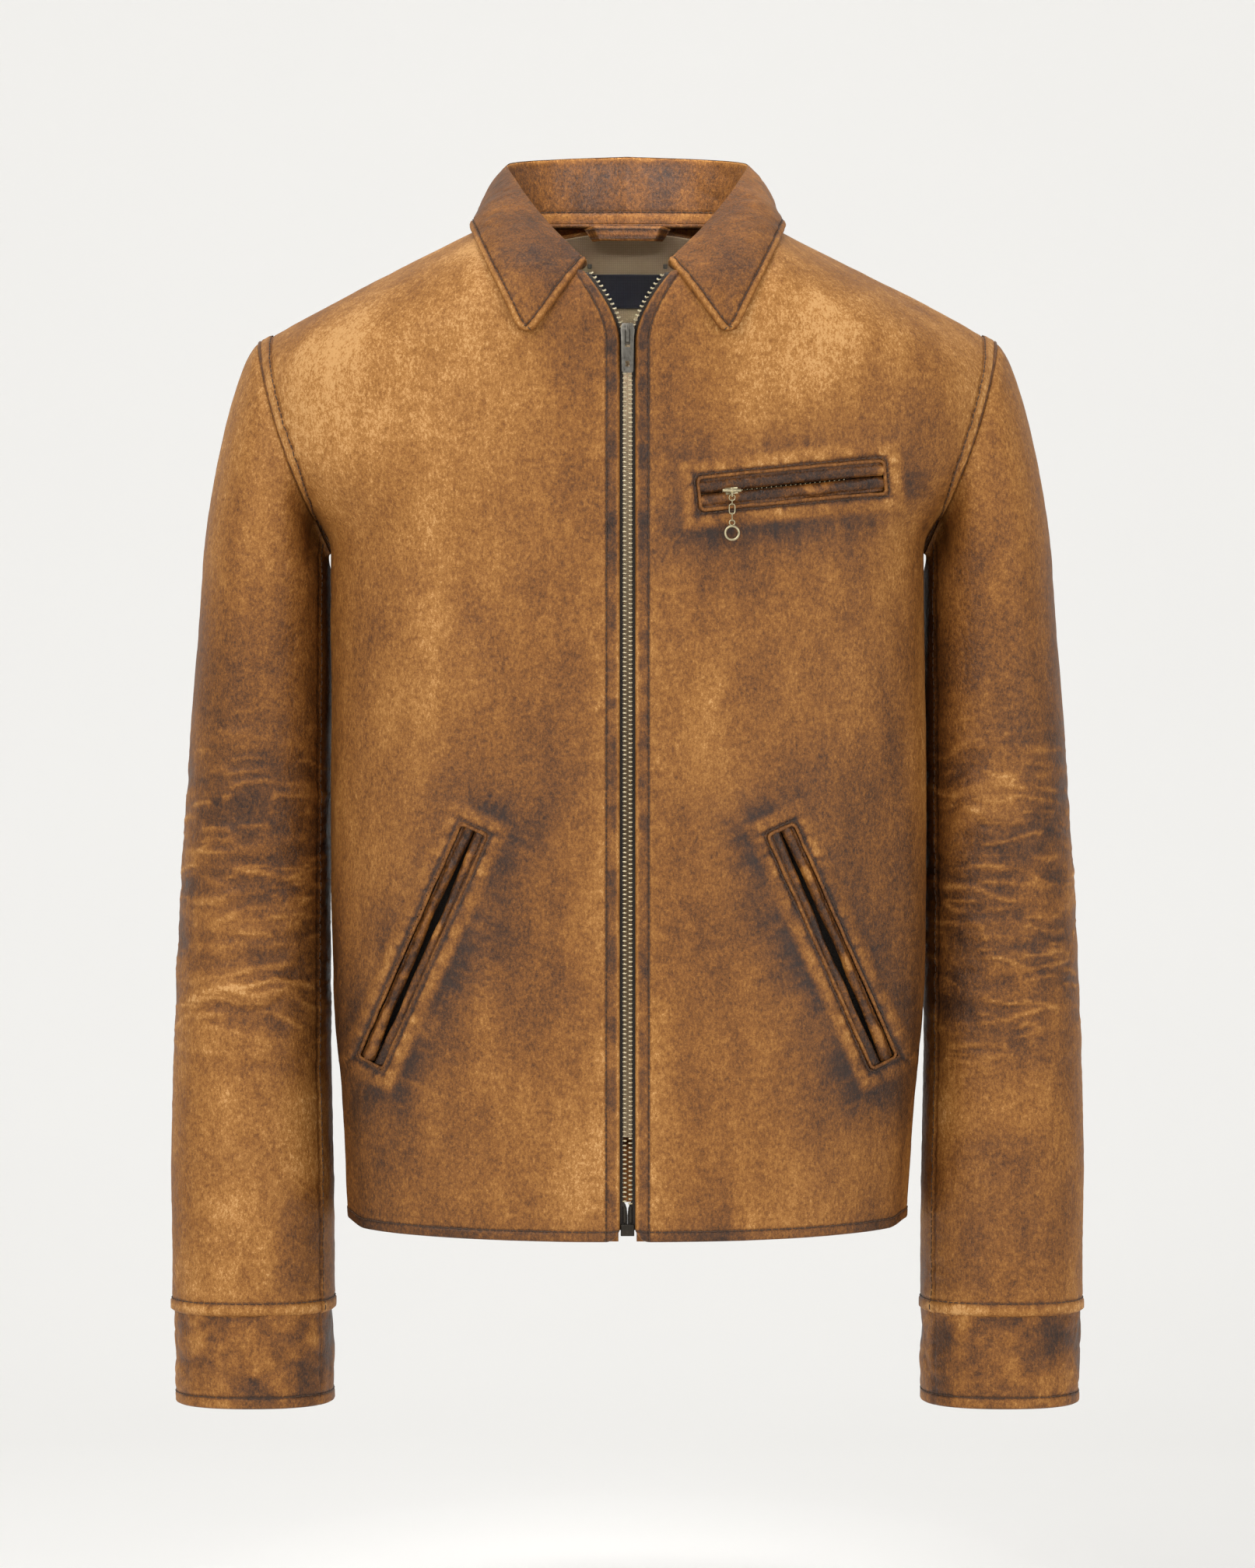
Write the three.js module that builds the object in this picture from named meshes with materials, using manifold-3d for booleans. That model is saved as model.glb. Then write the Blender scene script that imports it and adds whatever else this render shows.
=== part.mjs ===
// A zip-front leather riding jacket, built from separate panels, linings, pockets, zips and a pull chain.
// Millimetres. +Z is up, -Y is the jacket's front, +X is the wearer's left. The jacket is shaped as if worn.
// The origin is the middle of the hanger loop's underside, where a coat hook bears.
import * as THREE from "three";
import { mergeVertices } from "three/addons/utils/BufferGeometryUtils.js";
import Module from "manifold-3d";

const wasm = await Module();
wasm.setup();

// ---------- Driving dimensions ----------

const LOOP_Y = 50; // where the hanger loop's strap stands in the shape's own axes
const LOOP_Z = 2;
const LOOP_END = 6; // how far back its ends are sewn
const GAP = 0.35; // clearance between neighbouring pieces

const LEATHER = 2.4; // body leather with its backing
const SLEEVE_LEATHER = 2.0;
const LINING = 1.0;

const FRONT_Y = -125; // the straight front edge's depth
const BACK_Y = 112;
const RIDGE_Y = 12; // the shoulder seam
const SIDE_Y = -15; // the side seam
const SECTION_POWER = 2.6; // how square the body's section is
const RIDGE_POWER = 2.2;
const FRONT_DROP = 68; // how far below the shoulder seam the chest reaches its full depth
const BACK_DROP = 90;

const NECK_X = 78;
const NECK_Z = 2;
const BACK_NECK_RISE = 20;
const BACK_NECK_DROP = 10;
const SHOULDER_X = 230;
const SLOPE_X = 93; // where the shoulder seam comes out from under the collar and starts to fall
const SLOPE_RISE = 0.6;
const SHOULDER_FALL = 0.505; // drop of the shoulder seam for each mm outwards
const SHOULDER_Z = NECK_Z + SLOPE_RISE - (SHOULDER_X - SLOPE_X) * SHOULDER_FALL;
const ARMPIT_X = 184;
const ARMPIT_Z = -200;
const HEM_MIDDLE_Z = -620;
const HEM_SIDE_Z = -616;

const ZIP_GAP = 4.8; // from the middle to each front edge
const V_START_Z = -78; // where the front edges begin to part
const V_TOP_X = 26;
const V_TOP_Z = -34;

const ELBOW_Z = -410;
const ELBOW_R = 78;
const ELBOW_PLAY = 0.9;
const SLEEVE_RING_Z = -215; // the first level ring of the sleeve, under the armpit
const SLEEVE_END_Z = -671;
const CUFF_TOP_Z = -671.4;
const CUFF_END_Z = -730;
const FRONT_SEAM = THREE.MathUtils.degToRad(148); // the two long seams of the two-piece sleeve
const BACK_SEAM = THREE.MathUtils.degToRad(250);

// ---------- Small maths ----------

const clamp = THREE.MathUtils.clamp;
const lerp = THREE.MathUtils.lerp;
const vec = (x, y, z) => new THREE.Vector3(x, y, z);
const steps = (n, from = 0, to = 1) => Array.from({ length: n + 1 }, (_, i) => lerp(from, to, i / n));
const SIDES = [["left", 1], ["right", -1]];

function ease(x, low, high) {
  const t = clamp((x - low) / (high - low), 0, 1);
  return t * t * (3 - 2 * t);
}

// A smooth function through [x, y] knots that never overshoots them and is flat past its ends.
function through(...knots) {
  const last = knots.length - 1;
  const secant = (i) => (knots[i + 1][1] - knots[i][1]) / (knots[i + 1][0] - knots[i][0]);
  const slope = (i) => {
    if (i === 0) return secant(0);
    if (i === last) return secant(last - 1);
    const before = secant(i - 1);
    const after = secant(i);
    return before * after <= 0 ? 0 : (2 * before * after) / (before + after);
  };
  return (x) => {
    if (x <= knots[0][0]) return knots[0][1];
    if (x >= knots[last][0]) return knots[last][1];
    const i = knots.findIndex((k) => k[0] > x) - 1;
    const width = knots[i + 1][0] - knots[i][0];
    const t = (x - knots[i][0]) / width;
    const a = 2 * t ** 3 - 3 * t ** 2 + 1;
    const b = t ** 3 - 2 * t ** 2 + t;
    const c = t ** 3 - t ** 2;
    return a * knots[i][1] + b * width * slope(i) + (1 - a) * knots[i + 1][1] + c * width * slope(i + 1);
  };
}

// The same for points in space: knots are [parameter, x, y, z].
function throughPoints(...knots) {
  const axes = [1, 2, 3].map((k) => through(...knots.map((knot) => [knot[0], knot[k]])));
  return (t) => vec(...axes.map((f) => f(t)));
}

// The unit normal of a surface of two parameters, turned to point away from an inner point.
function normalOf(surface, u, v, inner) {
  const e = 1e-3;
  const du = surface(u + e, v).sub(surface(u - e, v));
  const dv = surface(u, v + e).sub(surface(u, v - e));
  const n = du.cross(dv).normalize();
  return n.dot(surface(u, v).sub(inner)) < 0 ? n.negate() : n;
}

// ---------- Solids from rings of points ----------

function geometryOf(points, faces) {
  const g = new THREE.BufferGeometry();
  g.setAttribute("position", new THREE.Float32BufferAttribute(points.flatMap((p) => [p.x, p.y, p.z]), 3));
  let volume = 0;
  const crossed = vec(0, 0, 0);
  for (const [a, b, c] of faces) volume += points[a].dot(crossed.copy(points[b]).cross(points[c]));
  g.setIndex((volume < 0 ? faces.map(([a, b, c]) => [a, c, b]) : faces).flat());
  return g;
}

const quad = (a, b, c, d) => [[a, b, c], [a, c, d]];

// A solid through rings of equally many points. Its ends are closed, or it closes on itself as a link does.
function loft(rings, closed = false) {
  const n = rings[0].length;
  const faces = [];
  const last = rings.length - (closed ? 0 : 1);
  for (let r = 0; r < last; r++) {
    const next = (r + 1) % rings.length;
    for (let i = 0; i < n; i++) {
      const j = (i + 1) % n;
      const corners = [r * n + i, r * n + j, next * n + j, next * n + i];
      if (i >= n / 2) corners.push(corners.shift()); // so a panel's two faces are split the same way
      faces.push(...quad(...corners));
    }
  }
  if (!closed) {
    for (const [base, turned] of [[0, true], [(rings.length - 1) * n, false]]) {
      for (let i = 0; i + 1 < n - 1 - i; i++) {
        const cap = [base + i, base + i + 1, base + n - 2 - i, base + n - 1 - i];
        const corners = turned ? cap.reverse() : cap;
        faces.push(...quad(...corners).filter((f) => new Set(f).size === 3));
      }
    }
  }
  return geometryOf(rings.flat(), faces);
}

// A panel between two depths of a surface.
function panel(outer, inner, us, vs) {
  return loft(vs.map((v) => [...us.map((u) => outer(u, v)), ...us.map((u) => inner(u, v)).reverse()]));
}

// A tube wall between two depths of a surface that goes right round in u.
function pipe(outer, inner, around, vs) {
  const angles = steps(around, 0, 2 * Math.PI).slice(0, -1);
  const walls = angles.map((u) => [...vs.map((v) => outer(u, v)), ...vs.map((v) => inner(u, v)).reverse()]);
  return loft(walls, true);
}

const boxAt = (x, y, z, w, d, h) => new THREE.BoxGeometry(w, d, h).translate(x, y, z);

function solid(geometry) {
  const bare = geometry.clone();
  bare.deleteAttribute("normal");
  bare.deleteAttribute("uv");
  const merged = mergeVertices(bare, 1e-4);
  const vertProperties = merged.attributes.position.array;
  const triVerts = new Uint32Array(merged.index.array);
  return new wasm.Manifold(new wasm.Mesh({ numProp: 3, vertProperties, triVerts }));
}

function geometryFrom(manifold) {
  const mesh = manifold.getMesh();
  const g = new THREE.BufferGeometry();
  g.setAttribute("position", new THREE.Float32BufferAttribute(mesh.vertProperties, 3));
  g.setIndex([...mesh.triVerts]);
  return g;
}

const joined = (...parts) => geometryFrom(parts.map(solid).reduce((a, b) => a.add(b)));
const cut = (body, ...tools) => geometryFrom(tools.map(solid).reduce((a, b) => a.subtract(b), solid(body)));
const kept = (body, tool) => geometryFrom(solid(body).intersect(solid(tool)));

function mirrored(geometry) {
  const g = geometry.clone().scale(-1, 1, 1);
  const index = g.index.array;
  for (let i = 0; i < index.length; i += 3) [index[i + 1], index[i + 2]] = [index[i + 2], index[i + 1]];
  return g;
}

// ---------- The body's shape ----------

const bodyHalfWidth = through([-640, 172], [-560, 176], [-480, 182.5], [-400, 185], [-300, 184.5],
  [ARMPIT_Z, ARMPIT_X], [-140, 223], [SHOULDER_Z, 245], [60, 258]);
const armholeX = (z) => lerp(ARMPIT_X, SHOULDER_X, clamp((z - ARMPIT_Z) / (SHOULDER_Z - ARMPIT_Z), 0, 1));
const edgeX = (z) => (z < ARMPIT_Z ? bodyHalfWidth(z) : armholeX(z));
const roundOver = (t, power) => (1 - (1 - clamp(t, 0, 1)) ** power) ** (1 / power);
const across = (q) => (1 - clamp(Math.abs(q), 0, 1) ** SECTION_POWER) ** (1 / SECTION_POWER);

function ridgeZ(x, isBack) {
  const out = Math.abs(x);
  const rise = isBack ? BACK_NECK_RISE * (1 - clamp(out / NECK_X, 0, 1) ** 2) : 0;
  const flat = SLOPE_RISE * ease(out, NECK_X, SLOPE_X);
  return NECK_Z + rise + flat - Math.max(0, out - SLOPE_X) * SHOULDER_FALL;
}

const seamY = (x, z, isBack) => lerp(RIDGE_Y, SIDE_Y, ease(ridgeZ(x, isBack) - z, 0, 120));

function frontY(x, z) {
  const drop = ridgeZ(x, false) - z;
  const seam = seamY(x, z, false);
  const bulge = roundOver(drop / FRONT_DROP, RIDGE_POWER) * across(x / bodyHalfWidth(z));
  return seam - GAP / 2 + (FRONT_Y - seam) * bulge;
}

function backY(x, z) {
  const drop = ridgeZ(x, true) - z;
  const seam = seamY(x, z, true);
  const bulge = roundOver(drop / BACK_DROP, RIDGE_POWER) * across(x / bodyHalfWidth(z));
  return seam + GAP / 2 + (BACK_Y - seam) * bulge;
}

const spread = (s) => Math.sin((clamp(s, 0, 1) * Math.PI) / 2) ** (2 / SECTION_POWER);
const hemZ = (share) => lerp(HEM_MIDDLE_Z, HEM_SIDE_Z, share * share);

// The front edge: straight, then parting into the V of the neck.
function frontEdgeX(z) {
  const t = clamp((z - V_START_Z) / (V_TOP_Z - V_START_Z), 0, 1);
  return lerp(ZIP_GAP, V_TOP_X, t ** 1.6);
}

function necklineZ(x) {
  if (x >= NECK_X) return ridgeZ(x, false);
  return lerp(V_TOP_Z, NECK_Z, clamp((x - V_TOP_X) / (NECK_X - V_TOP_X), 0, 1) ** 1.6);
}

// The front panel's surface: s runs from the front edge to the side and armhole, v from hem to shoulder.
function frontSurface(s, v) {
  const share = spread(s);
  const below = (1 - clamp(v, 0, 1)) ** 1.7;
  const edge = frontEdgeX(lerp(V_TOP_Z, HEM_MIDDLE_Z, below));
  const z = lerp(necklineZ(lerp(V_TOP_X, SHOULDER_X, share)), hemZ(share), below);
  const x = lerp(edge, edgeX(z), share);
  return vec(x, frontY(x, z), z);
}

// The back panel's surface: s runs from -1 to 1 across, v from hem to the neck and shoulders.
function backSurface(s, v) {
  const share = Math.sign(s) * spread(Math.abs(s));
  const out = Math.abs(share) * SHOULDER_X;
  const neck = BACK_NECK_DROP * (1 - clamp(out / NECK_X, 0, 1) ** 4);
  const top = ridgeZ(out, true) - neck;
  const z = lerp(top, HEM_SIDE_Z, (1 - clamp(v, 0, 1)) ** 1.7);
  const x = share * edgeX(z);
  return vec(x, backY(x, z), z);
}

// A surface moved inwards by a depth, kept on its own side of the front and back seam.
function deeper(surface, depth, isBack) {
  return (s, v) => {
    const p = surface(s, v);
    const inner = vec(0, isBack ? 0 : -20, Math.min(p.z, -40) - 30);
    const by = typeof depth === "function" ? depth(s, v, p) : depth;
    const moved = p.clone().addScaledVector(normalOf(surface, s, v, inner), -by);
    const seam = seamY(moved.x, Math.min(moved.z, ridgeZ(moved.x, isBack)), isBack);
    moved.y = isBack ? Math.max(moved.y, seam + GAP / 2) : Math.min(moved.y, seam - GAP / 2);
    return moved;
  };
}

const SEAM_S = 0.9996; // just short of the side seam, where front and back meet
// The rows come closer together towards the shoulder.
const ROWS = [0, 0.12, 0.25, 0.4, 0.5, 0.58, 0.66, 0.73, 0.79, 0.85, 0.9, 0.94, 0.97, 0.985, 1];
const FRONT_COLUMNS = [0, 0.03, 0.065, 0.085, 0.098, 0.108, 0.128, ...steps(9, 0.157, 0.93), 0.97, SEAM_S];
const BACK_HALF = [0, 0.03, 0.07, 0.112, 0.158, ...steps(8, 0.24, 0.93), 0.97, SEAM_S];
const BACK_COLUMNS = [...BACK_HALF.slice(1).reverse().map((s) => -s), ...BACK_HALF];
const frontPanel = (from, to, ss, vs) =>
  panel(deeper(frontSurface, from, false), deeper(frontSurface, to, false), ss, vs);
const backPanel = (from, to, ss, vs) =>
  panel(deeper(backSurface, from, true), deeper(backSurface, to, true), ss, vs);

// A patch of the front or back at depths measured along its normal, laid out by x and z.
function patch(skinY, toXZ, from, to, us, vs) {
  const surface = (u, v) => {
    const [x, z] = toXZ(u, v);
    return vec(x, skinY(x, z), z);
  };
  const at = (depth) => (u, v) => {
    const p = surface(u, v);
    return p.clone().addScaledVector(normalOf(surface, u, v, vec(0, -20, p.z)), -depth);
  };
  return panel(at(from), at(to), us, vs);
}

const upright = (x, z) => [x, z];
const frontPatch = (from, to, us, vs) => patch(frontY, upright, from, to, us, vs);

// The grid lines of a list that fall within a range, and the range's own ends.
const within = (list, low, high) => [low, ...list.filter((x) => x > low + 0.01 && x < high - 0.01), high];

// ---------- Pockets ----------

const HAND = { x: 124.5, z: -443, length: 156, width: 17, slit: 6, lean: THREE.MathUtils.degToRad(24.2) };
const CHEST = { x: 99.6, z: -164, length: 113, width: 19, slit: 4.8, lean: THREE.MathUtils.degToRad(-84) };
const WELT_DEPTH = [0.4, 2.2];
const BAG_DEPTH = { outer: 3.1, inner: 17.4, wall: 0.9 };
const HAND_BAG = { x0: 64, x1: 164, z0: -550, z1: -362 };
const HAND_AREA = { x0: 74, x1: 176, z0: -530, z1: -355 };
const CHEST_AREA = { x0: 36, x1: 164, z0: -192, z1: -140 };

// From across and along a slanted pocket to x and z.
const pocketXZ = (pocket) => (a, b) => [
  pocket.x + a * Math.cos(pocket.lean) - b * Math.sin(pocket.lean),
  pocket.z + a * Math.sin(pocket.lean) + b * Math.cos(pocket.lean),
];

function pocketCutter(pocket, width, length, fromY, toY) {
  const g = new THREE.BoxGeometry(width, toY - fromY, length).translate(0, (fromY + toY) / 2, 0);
  return g.rotateY(-pocket.lean).translate(pocket.x, 0, pocket.z);
}

// The lips of a pocket are cut from a layer of the front, and a cut follows the pocket's slant.
function welt(pocket, side, area) {
  const edge = pocket.width / 2 - GAP;
  const layer = frontPatch(...WELT_DEPTH, steps(9, area.x0, area.x1), steps(7, area.z0, area.z1));
  const span = edge - pocket.slit / 2;
  const shift = side * (pocket.slit / 2 + span / 2);
  const [x, z] = pocketXZ(pocket)(shift, 0);
  const lip = { ...pocket, x, z };
  return kept(layer, pocketCutter(lip, span, pocket.length - 2 * GAP, -160, -40));
}

function handPocketBag() {
  const { outer, inner, wall } = BAG_DEPTH;
  const { x0, x1, z0, z1 } = HAND_BAG;
  const bag = frontPatch(outer, inner, steps(6, x0, x1), steps(3, z0, z1));
  const space = frontPatch(outer + wall, inner - wall, steps(6, x0 + 2, x1 - 2), steps(3, z0 + 2, z1 - 2));
  const mouth = pocketCutter(HAND, HAND.slit, HAND.length - 12, -140, 0);
  const front = frontPatch(-2, outer + wall + 1, steps(6, x0, x1 + 2), steps(3, z0, z1));
  return cut(bag, space, kept(mouth, front));
}

// ---------- The sleeve's shape ----------

const sleeveOuterX = through([-700, 284.5], [-665, 285], [-587, 285.8], [-513, 284.6], [-464, 282.8],
  [-406, 280.4], [-342, 276.8], [-293, 273.6], [-234, 268.6], [SLEEVE_RING_Z, 267]);
const sleeveInnerX = through([-700, 183], [-600, 184], [-500, 186.6], [-406, 187.4], [-300, 187.3],
  [SLEEVE_RING_Z, 187.6]);
const sleeveHalfDepth = through([-700, 51], [-665, 52], [-513, 57], [ELBOW_Z, 62], [-342, 66],
  [SLEEVE_RING_Z, 73]);
const sleeveY = through([-700, -4], [-560, 3], [ELBOW_Z, 9], [-300, 12], [SLEEVE_RING_Z, 12]);
const ARMHOLE_OUT = vec(SHOULDER_Z - ARMPIT_Z, 0, ARMPIT_X - SHOULDER_X).normalize(); // out and a little down
const SEAM_WELT_R = 1.5;
const round = (t, power) => Math.sign(t) * Math.abs(t) ** (2 / power);

// The armhole's edge: 0 at the shoulder, then down the front, round the armpit and up the back.
function armhole(angle) {
  const z = lerp(ARMPIT_Z, SHOULDER_Z, (1 + Math.cos(angle)) / 2);
  const x = armholeX(z);
  return vec(x, Math.sin(angle) >= 0 ? frontY(x, z) : backY(x, z), z);
}

function sleeveRing(angle, z) {
  const half = (sleeveOuterX(z) - sleeveInnerX(z)) / 2;
  const middle = (sleeveOuterX(z) + sleeveInnerX(z)) / 2;
  const y = sleeveY(z) - sleeveHalfDepth(z) * round(Math.sin(angle), 2.3);
  return vec(middle + half * round(Math.cos(angle), 2.3), y, z);
}

// The sleeve's surface: v is 0 at the armhole, 1 at the level ring under it and 2 at the cuff.
function sleeveSurface(angle, v) {
  if (v >= 1) return sleeveRing(angle, lerp(SLEEVE_RING_Z, SLEEVE_END_Z, v - 1));
  const low = (1 - Math.cos(angle)) / 2;
  const start = armhole(angle).addScaledVector(ARMHOLE_OUT, 2 * SEAM_WELT_R + 2 * GAP + 1.1);
  const end = sleeveRing(angle, SLEEVE_RING_Z);
  const t = Math.max(v, 0);
  const a = 2 * t ** 3 - 3 * t ** 2 + 1;
  const b = t ** 3 - 2 * t ** 2 + t;
  const c = t ** 3 - t ** 2;
  return start.multiplyScalar(a)
    .addScaledVector(end, 1 - a)
    .addScaledVector(ARMHOLE_OUT, b * lerp(46, 9, low))
    .add(vec(0, 0, -c * lerp(105, 12, low)));
}

function sleeveDeeper(depth) {
  return (angle, v) => {
    const p = sleeveSurface(angle, v);
    const middle = v >= 1 ? vec(234, sleeveY(p.z), p.z) : vec(222, RIDGE_Y, -170);
    const n = normalOf(sleeveSurface, angle, clamp(v, 0.002, 1.999), middle);
    const moved = p.addScaledVector(n, -depth);
    if (v >= 1) moved.z = lerp(SLEEVE_RING_Z, SLEEVE_END_Z, v - 1);
    return moved;
  };
}

const elbowDrum = (radius) => new THREE.CylinderGeometry(radius, radius, 160, 40)
  .rotateZ(Math.PI / 2).translate(235, sleeveY(ELBOW_Z), ELBOW_Z);
const belowElbow = () => boxAt(235, 0, ELBOW_Z - 200, 160, 300, 400);
const UPPER_ROWS = [0, 0.15, 0.35, 0.65, 1, 1.2, 1.34, 1.48];
const SLEEVE_LINING = [SLEEVE_LEATHER + 3.4, SLEEVE_LEATHER + 4.3];
const ELBOW_TOP_V = 1 + (ELBOW_Z + ELBOW_R + 6 - SLEEVE_RING_Z) / (SLEEVE_END_Z - SLEEVE_RING_Z);

function upperSleeve(from, to, rows) {
  const tube = pipe(sleeveDeeper(from), sleeveDeeper(to), 20, rows);
  return cut(tube, joined(elbowDrum(ELBOW_R + ELBOW_PLAY), belowElbow()));
}

function forearmPanel(from, to, start, end, around) {
  const rows = steps(6, ELBOW_TOP_V, 2);
  const wall = panel(sleeveDeeper(from), sleeveDeeper(to), steps(around, start, end), rows);
  return kept(wall, joined(elbowDrum(ELBOW_R), belowElbow()));
}

function forearmLining(from, to) {
  const tube = pipe(sleeveDeeper(from), sleeveDeeper(to), 16, steps(6, ELBOW_TOP_V, 1.998));
  return kept(tube, joined(elbowDrum(ELBOW_R), belowElbow()));
}

function cuff(from, to) {
  const surface = (depth) => (angle, v) => {
    const z = lerp(CUFF_TOP_Z, CUFF_END_Z, v);
    const p = sleeveRing(angle, SLEEVE_END_Z);
    const middle = vec(233, sleeveY(SLEEVE_END_Z), p.z);
    const out = p.clone().sub(middle).setZ(0);
    const shrink = (out.length() - depth - 1.2 * v) / out.length();
    return middle.clone().addScaledVector(out, shrink).setZ(z);
  };
  return pipe(surface(from), surface(to), 20, [0, 0.5, 1]);
}

// The turned seam that stands up round the armhole.
function armholeSeam() {
  const centre = (t) => armhole(t).addScaledVector(ARMHOLE_OUT, SEAM_WELT_R + GAP + 0.25);
  const rings = steps(28, 0, 2 * Math.PI).slice(0, -1).map((t) => {
    const along = centre(t + 0.02).sub(centre(t - 0.02)).normalize();
    const side = ARMHOLE_OUT.clone().addScaledVector(along, -ARMHOLE_OUT.dot(along)).normalize();
    const up = side.clone().cross(along);
    return steps(6, 0, 2 * Math.PI).slice(0, -1).map((a) => centre(t)
      .addScaledVector(side, SEAM_WELT_R * Math.cos(a))
      .addScaledVector(up, SEAM_WELT_R * Math.sin(a)));
  });
  return loft(rings, true);
}

// ---------- The collar ----------

const NECK_LINE = throughPoints([0, 0, 63.5, 14], [0.3, 46, 50.5, 12.5], [0.52, 75.5, 14, 6.5],
  [0.7, 72.5, -42, -1], [0.85, 57, -76, -11], [1, 27, -96.5, -31]);
const ROLL_LINE = throughPoints([0, 0, 73, 57], [0.3, 47, 62, 54], [0.52, 77, 16, 44.5], [0.7, 68, -38, 25],
  [0.85, 48, -80, -4], [1, 25, -107, -28.5]);
const LEAF_EDGE = throughPoints([0, 0, 94, 10], [0.3, 60, 80, 7], [0.52, 97.5, 22, 5], [0.7, 98, -45, 0],
  [0.83, 86, -110, -29], [0.93, 72, -128.5, -58], [1, 62, -131.5, -80]);
const COLLAR_WALL = 1.9;

const sided = (point, c) => point.setX(point.x * Math.sign(c || 1));
const neckOut = (p) => vec(p.x, p.y + 10, 0).normalize();

function standSurface(depth) {
  return (c, v) => {
    const neck = NECK_LINE(Math.abs(c));
    const roll = ROLL_LINE(Math.abs(c));
    const p = neck.clone().lerp(roll, v);
    return sided(p.addScaledVector(neckOut(p), -depth), c);
  };
}

function fallMiddle(c, v) {
  const k = Math.abs(c);
  const roll = ROLL_LINE(k);
  const start = roll.clone().addScaledVector(neckOut(roll), COLLAR_WALL / 2 + GAP);
  const edge = LEAF_EDGE(k);
  const swell = lerp(7, 19, ease(k, 0.6, 0.95));
  const over = start.clone().lerp(edge, 0.42).addScaledVector(neckOut(edge), swell).add(vec(0, 0, 5));
  const p = start.multiplyScalar((1 - v) ** 2);
  p.addScaledVector(over, 2 * v * (1 - v)).addScaledVector(edge, v * v);
  return sided(p, c);
}

const fallSurface = (depth) => (c, v) => {
  const p = fallMiddle(c, v);
  const n = normalOf(fallMiddle, clamp(c, -0.998, 0.998), v, vec(0, -20, -90));
  return p.addScaledVector(n, depth);
};

const aroundNeck = (n) => steps(n, -1, 1);
const collarStand = () => panel(standSurface(0), standSurface(COLLAR_WALL), aroundNeck(26), steps(3));
const collarFall = () => panel(fallSurface(COLLAR_WALL), fallSurface(0), aroundNeck(30), steps(4));

// ---------- The hanger loop and the label ----------

function hangerLoop() {
  const half = 28;
  const height = 9.5;
  const thick = 2.2;
  const rings = [-half, -half + 3.5, -half + 7, -9, 9, half - 7, half - 3.5, half].map((x) => {
    const y = LOOP_Y - thick / 2 + LOOP_END * ease(Math.abs(x), half - 7, half);
    const top = LOOP_Z + height;
    return [vec(x, y, LOOP_Z), vec(x, y + thick, LOOP_Z), vec(x, y + thick, top), vec(x, y, top)];
  });
  return loft(rings);
}

function neckLabel() {
  const depth = LEATHER + LINING + 2;
  return patch(backY, upright, depth, depth + 0.6, steps(6, -37, 37), steps(3, -34, -12));
}

// ---------- The front zip ----------

const TEETH_DEPTH = 3.9;
const TEETH_Y = FRONT_Y + TEETH_DEPTH;
const TEETH_HALF = 1.15;
const TEETH_END_Z = -598;
const TAPE_END_Z = -608.5;
const edgeRows = ROWS.map((v) => frontSurface(0, v).z);

// A strip beside the front edge, from the hem up round the V.
function edgeStrip(x0, x1, from, to, endZ) {
  const beside = (x, z) => [frontEdgeX(z) + x, z];
  return patch(frontY, beside, from, to, steps(2, x0, x1), within(edgeRows, endZ, V_TOP_Z - 1));
}

const zipTeeth = () =>
  edgeStrip(0.7 - ZIP_GAP, 2.6 - ZIP_GAP, TEETH_DEPTH - TEETH_HALF, TEETH_DEPTH + TEETH_HALF, TEETH_END_Z);
const zipTape = () => edgeStrip(2.9 - ZIP_GAP, 9, TEETH_DEPTH - 0.3, TEETH_DEPTH + 0.3, TAPE_END_Z);

function topStop() {
  const x = V_TOP_X - ZIP_GAP + 1.65;
  return boxAt(x, frontY(x, V_TOP_Z) + TEETH_DEPTH, V_TOP_Z + 2.6, 2.6, 2.6, 2.8);
}

const SLIDER = { top: -67, length: 12.5, half: 4.35, plate: 1.3 };
const PULLER_PIVOT = vec(0, -126.9, SLIDER.top - 4.1);

function sliderBody() {
  const plate = (y) => {
    const outline = new THREE.Shape();
    outline.moveTo(-SLIDER.half * 0.8, -SLIDER.length);
    outline.lineTo(SLIDER.half * 0.8, -SLIDER.length);
    outline.lineTo(SLIDER.half, -4);
    outline.lineTo(SLIDER.half * 0.75, 0);
    outline.lineTo(-SLIDER.half * 0.75, 0);
    outline.lineTo(-SLIDER.half, -4);
    outline.closePath();
    const g = new THREE.ExtrudeGeometry(outline, { depth: SLIDER.plate, bevelEnabled: false });
    return g.rotateX(Math.PI / 2).translate(0, y + SLIDER.plate, SLIDER.top);
  };
  const frontPlate = TEETH_Y - TEETH_HALF - GAP - SLIDER.plate;
  const backPlate = TEETH_Y + TEETH_HALF + GAP;
  const midZ = SLIDER.top - SLIDER.length / 2;
  const post = boxAt(0, TEETH_Y, SLIDER.top - 2.5, 0.6, 2 * TEETH_HALF + 2 * GAP + 1, 4);
  const legs = [-1.6, -11].map((dz) => boxAt(0, PULLER_PIVOT.y + 0.5, SLIDER.top + dz, 1.7, 6.4, 1.6));
  const bridge = boxAt(0, PULLER_PIVOT.y - 2.3, midZ - 0.05, 1.7, 1.3, 11);
  return joined(plate(frontPlate), plate(backPlate), post, ...legs, bridge);
}

// The tab that hangs from a bar under the slider's bridge.
// A rectangular hole in an outline, between two heights.
function holeAt(halfWidth, top, bottom) {
  const hole = new THREE.Path();
  hole.moveTo(-halfWidth, top);
  hole.lineTo(halfWidth, top);
  hole.lineTo(halfWidth, bottom);
  hole.lineTo(-halfWidth, bottom);
  hole.closePath();
  return hole;
}

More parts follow.
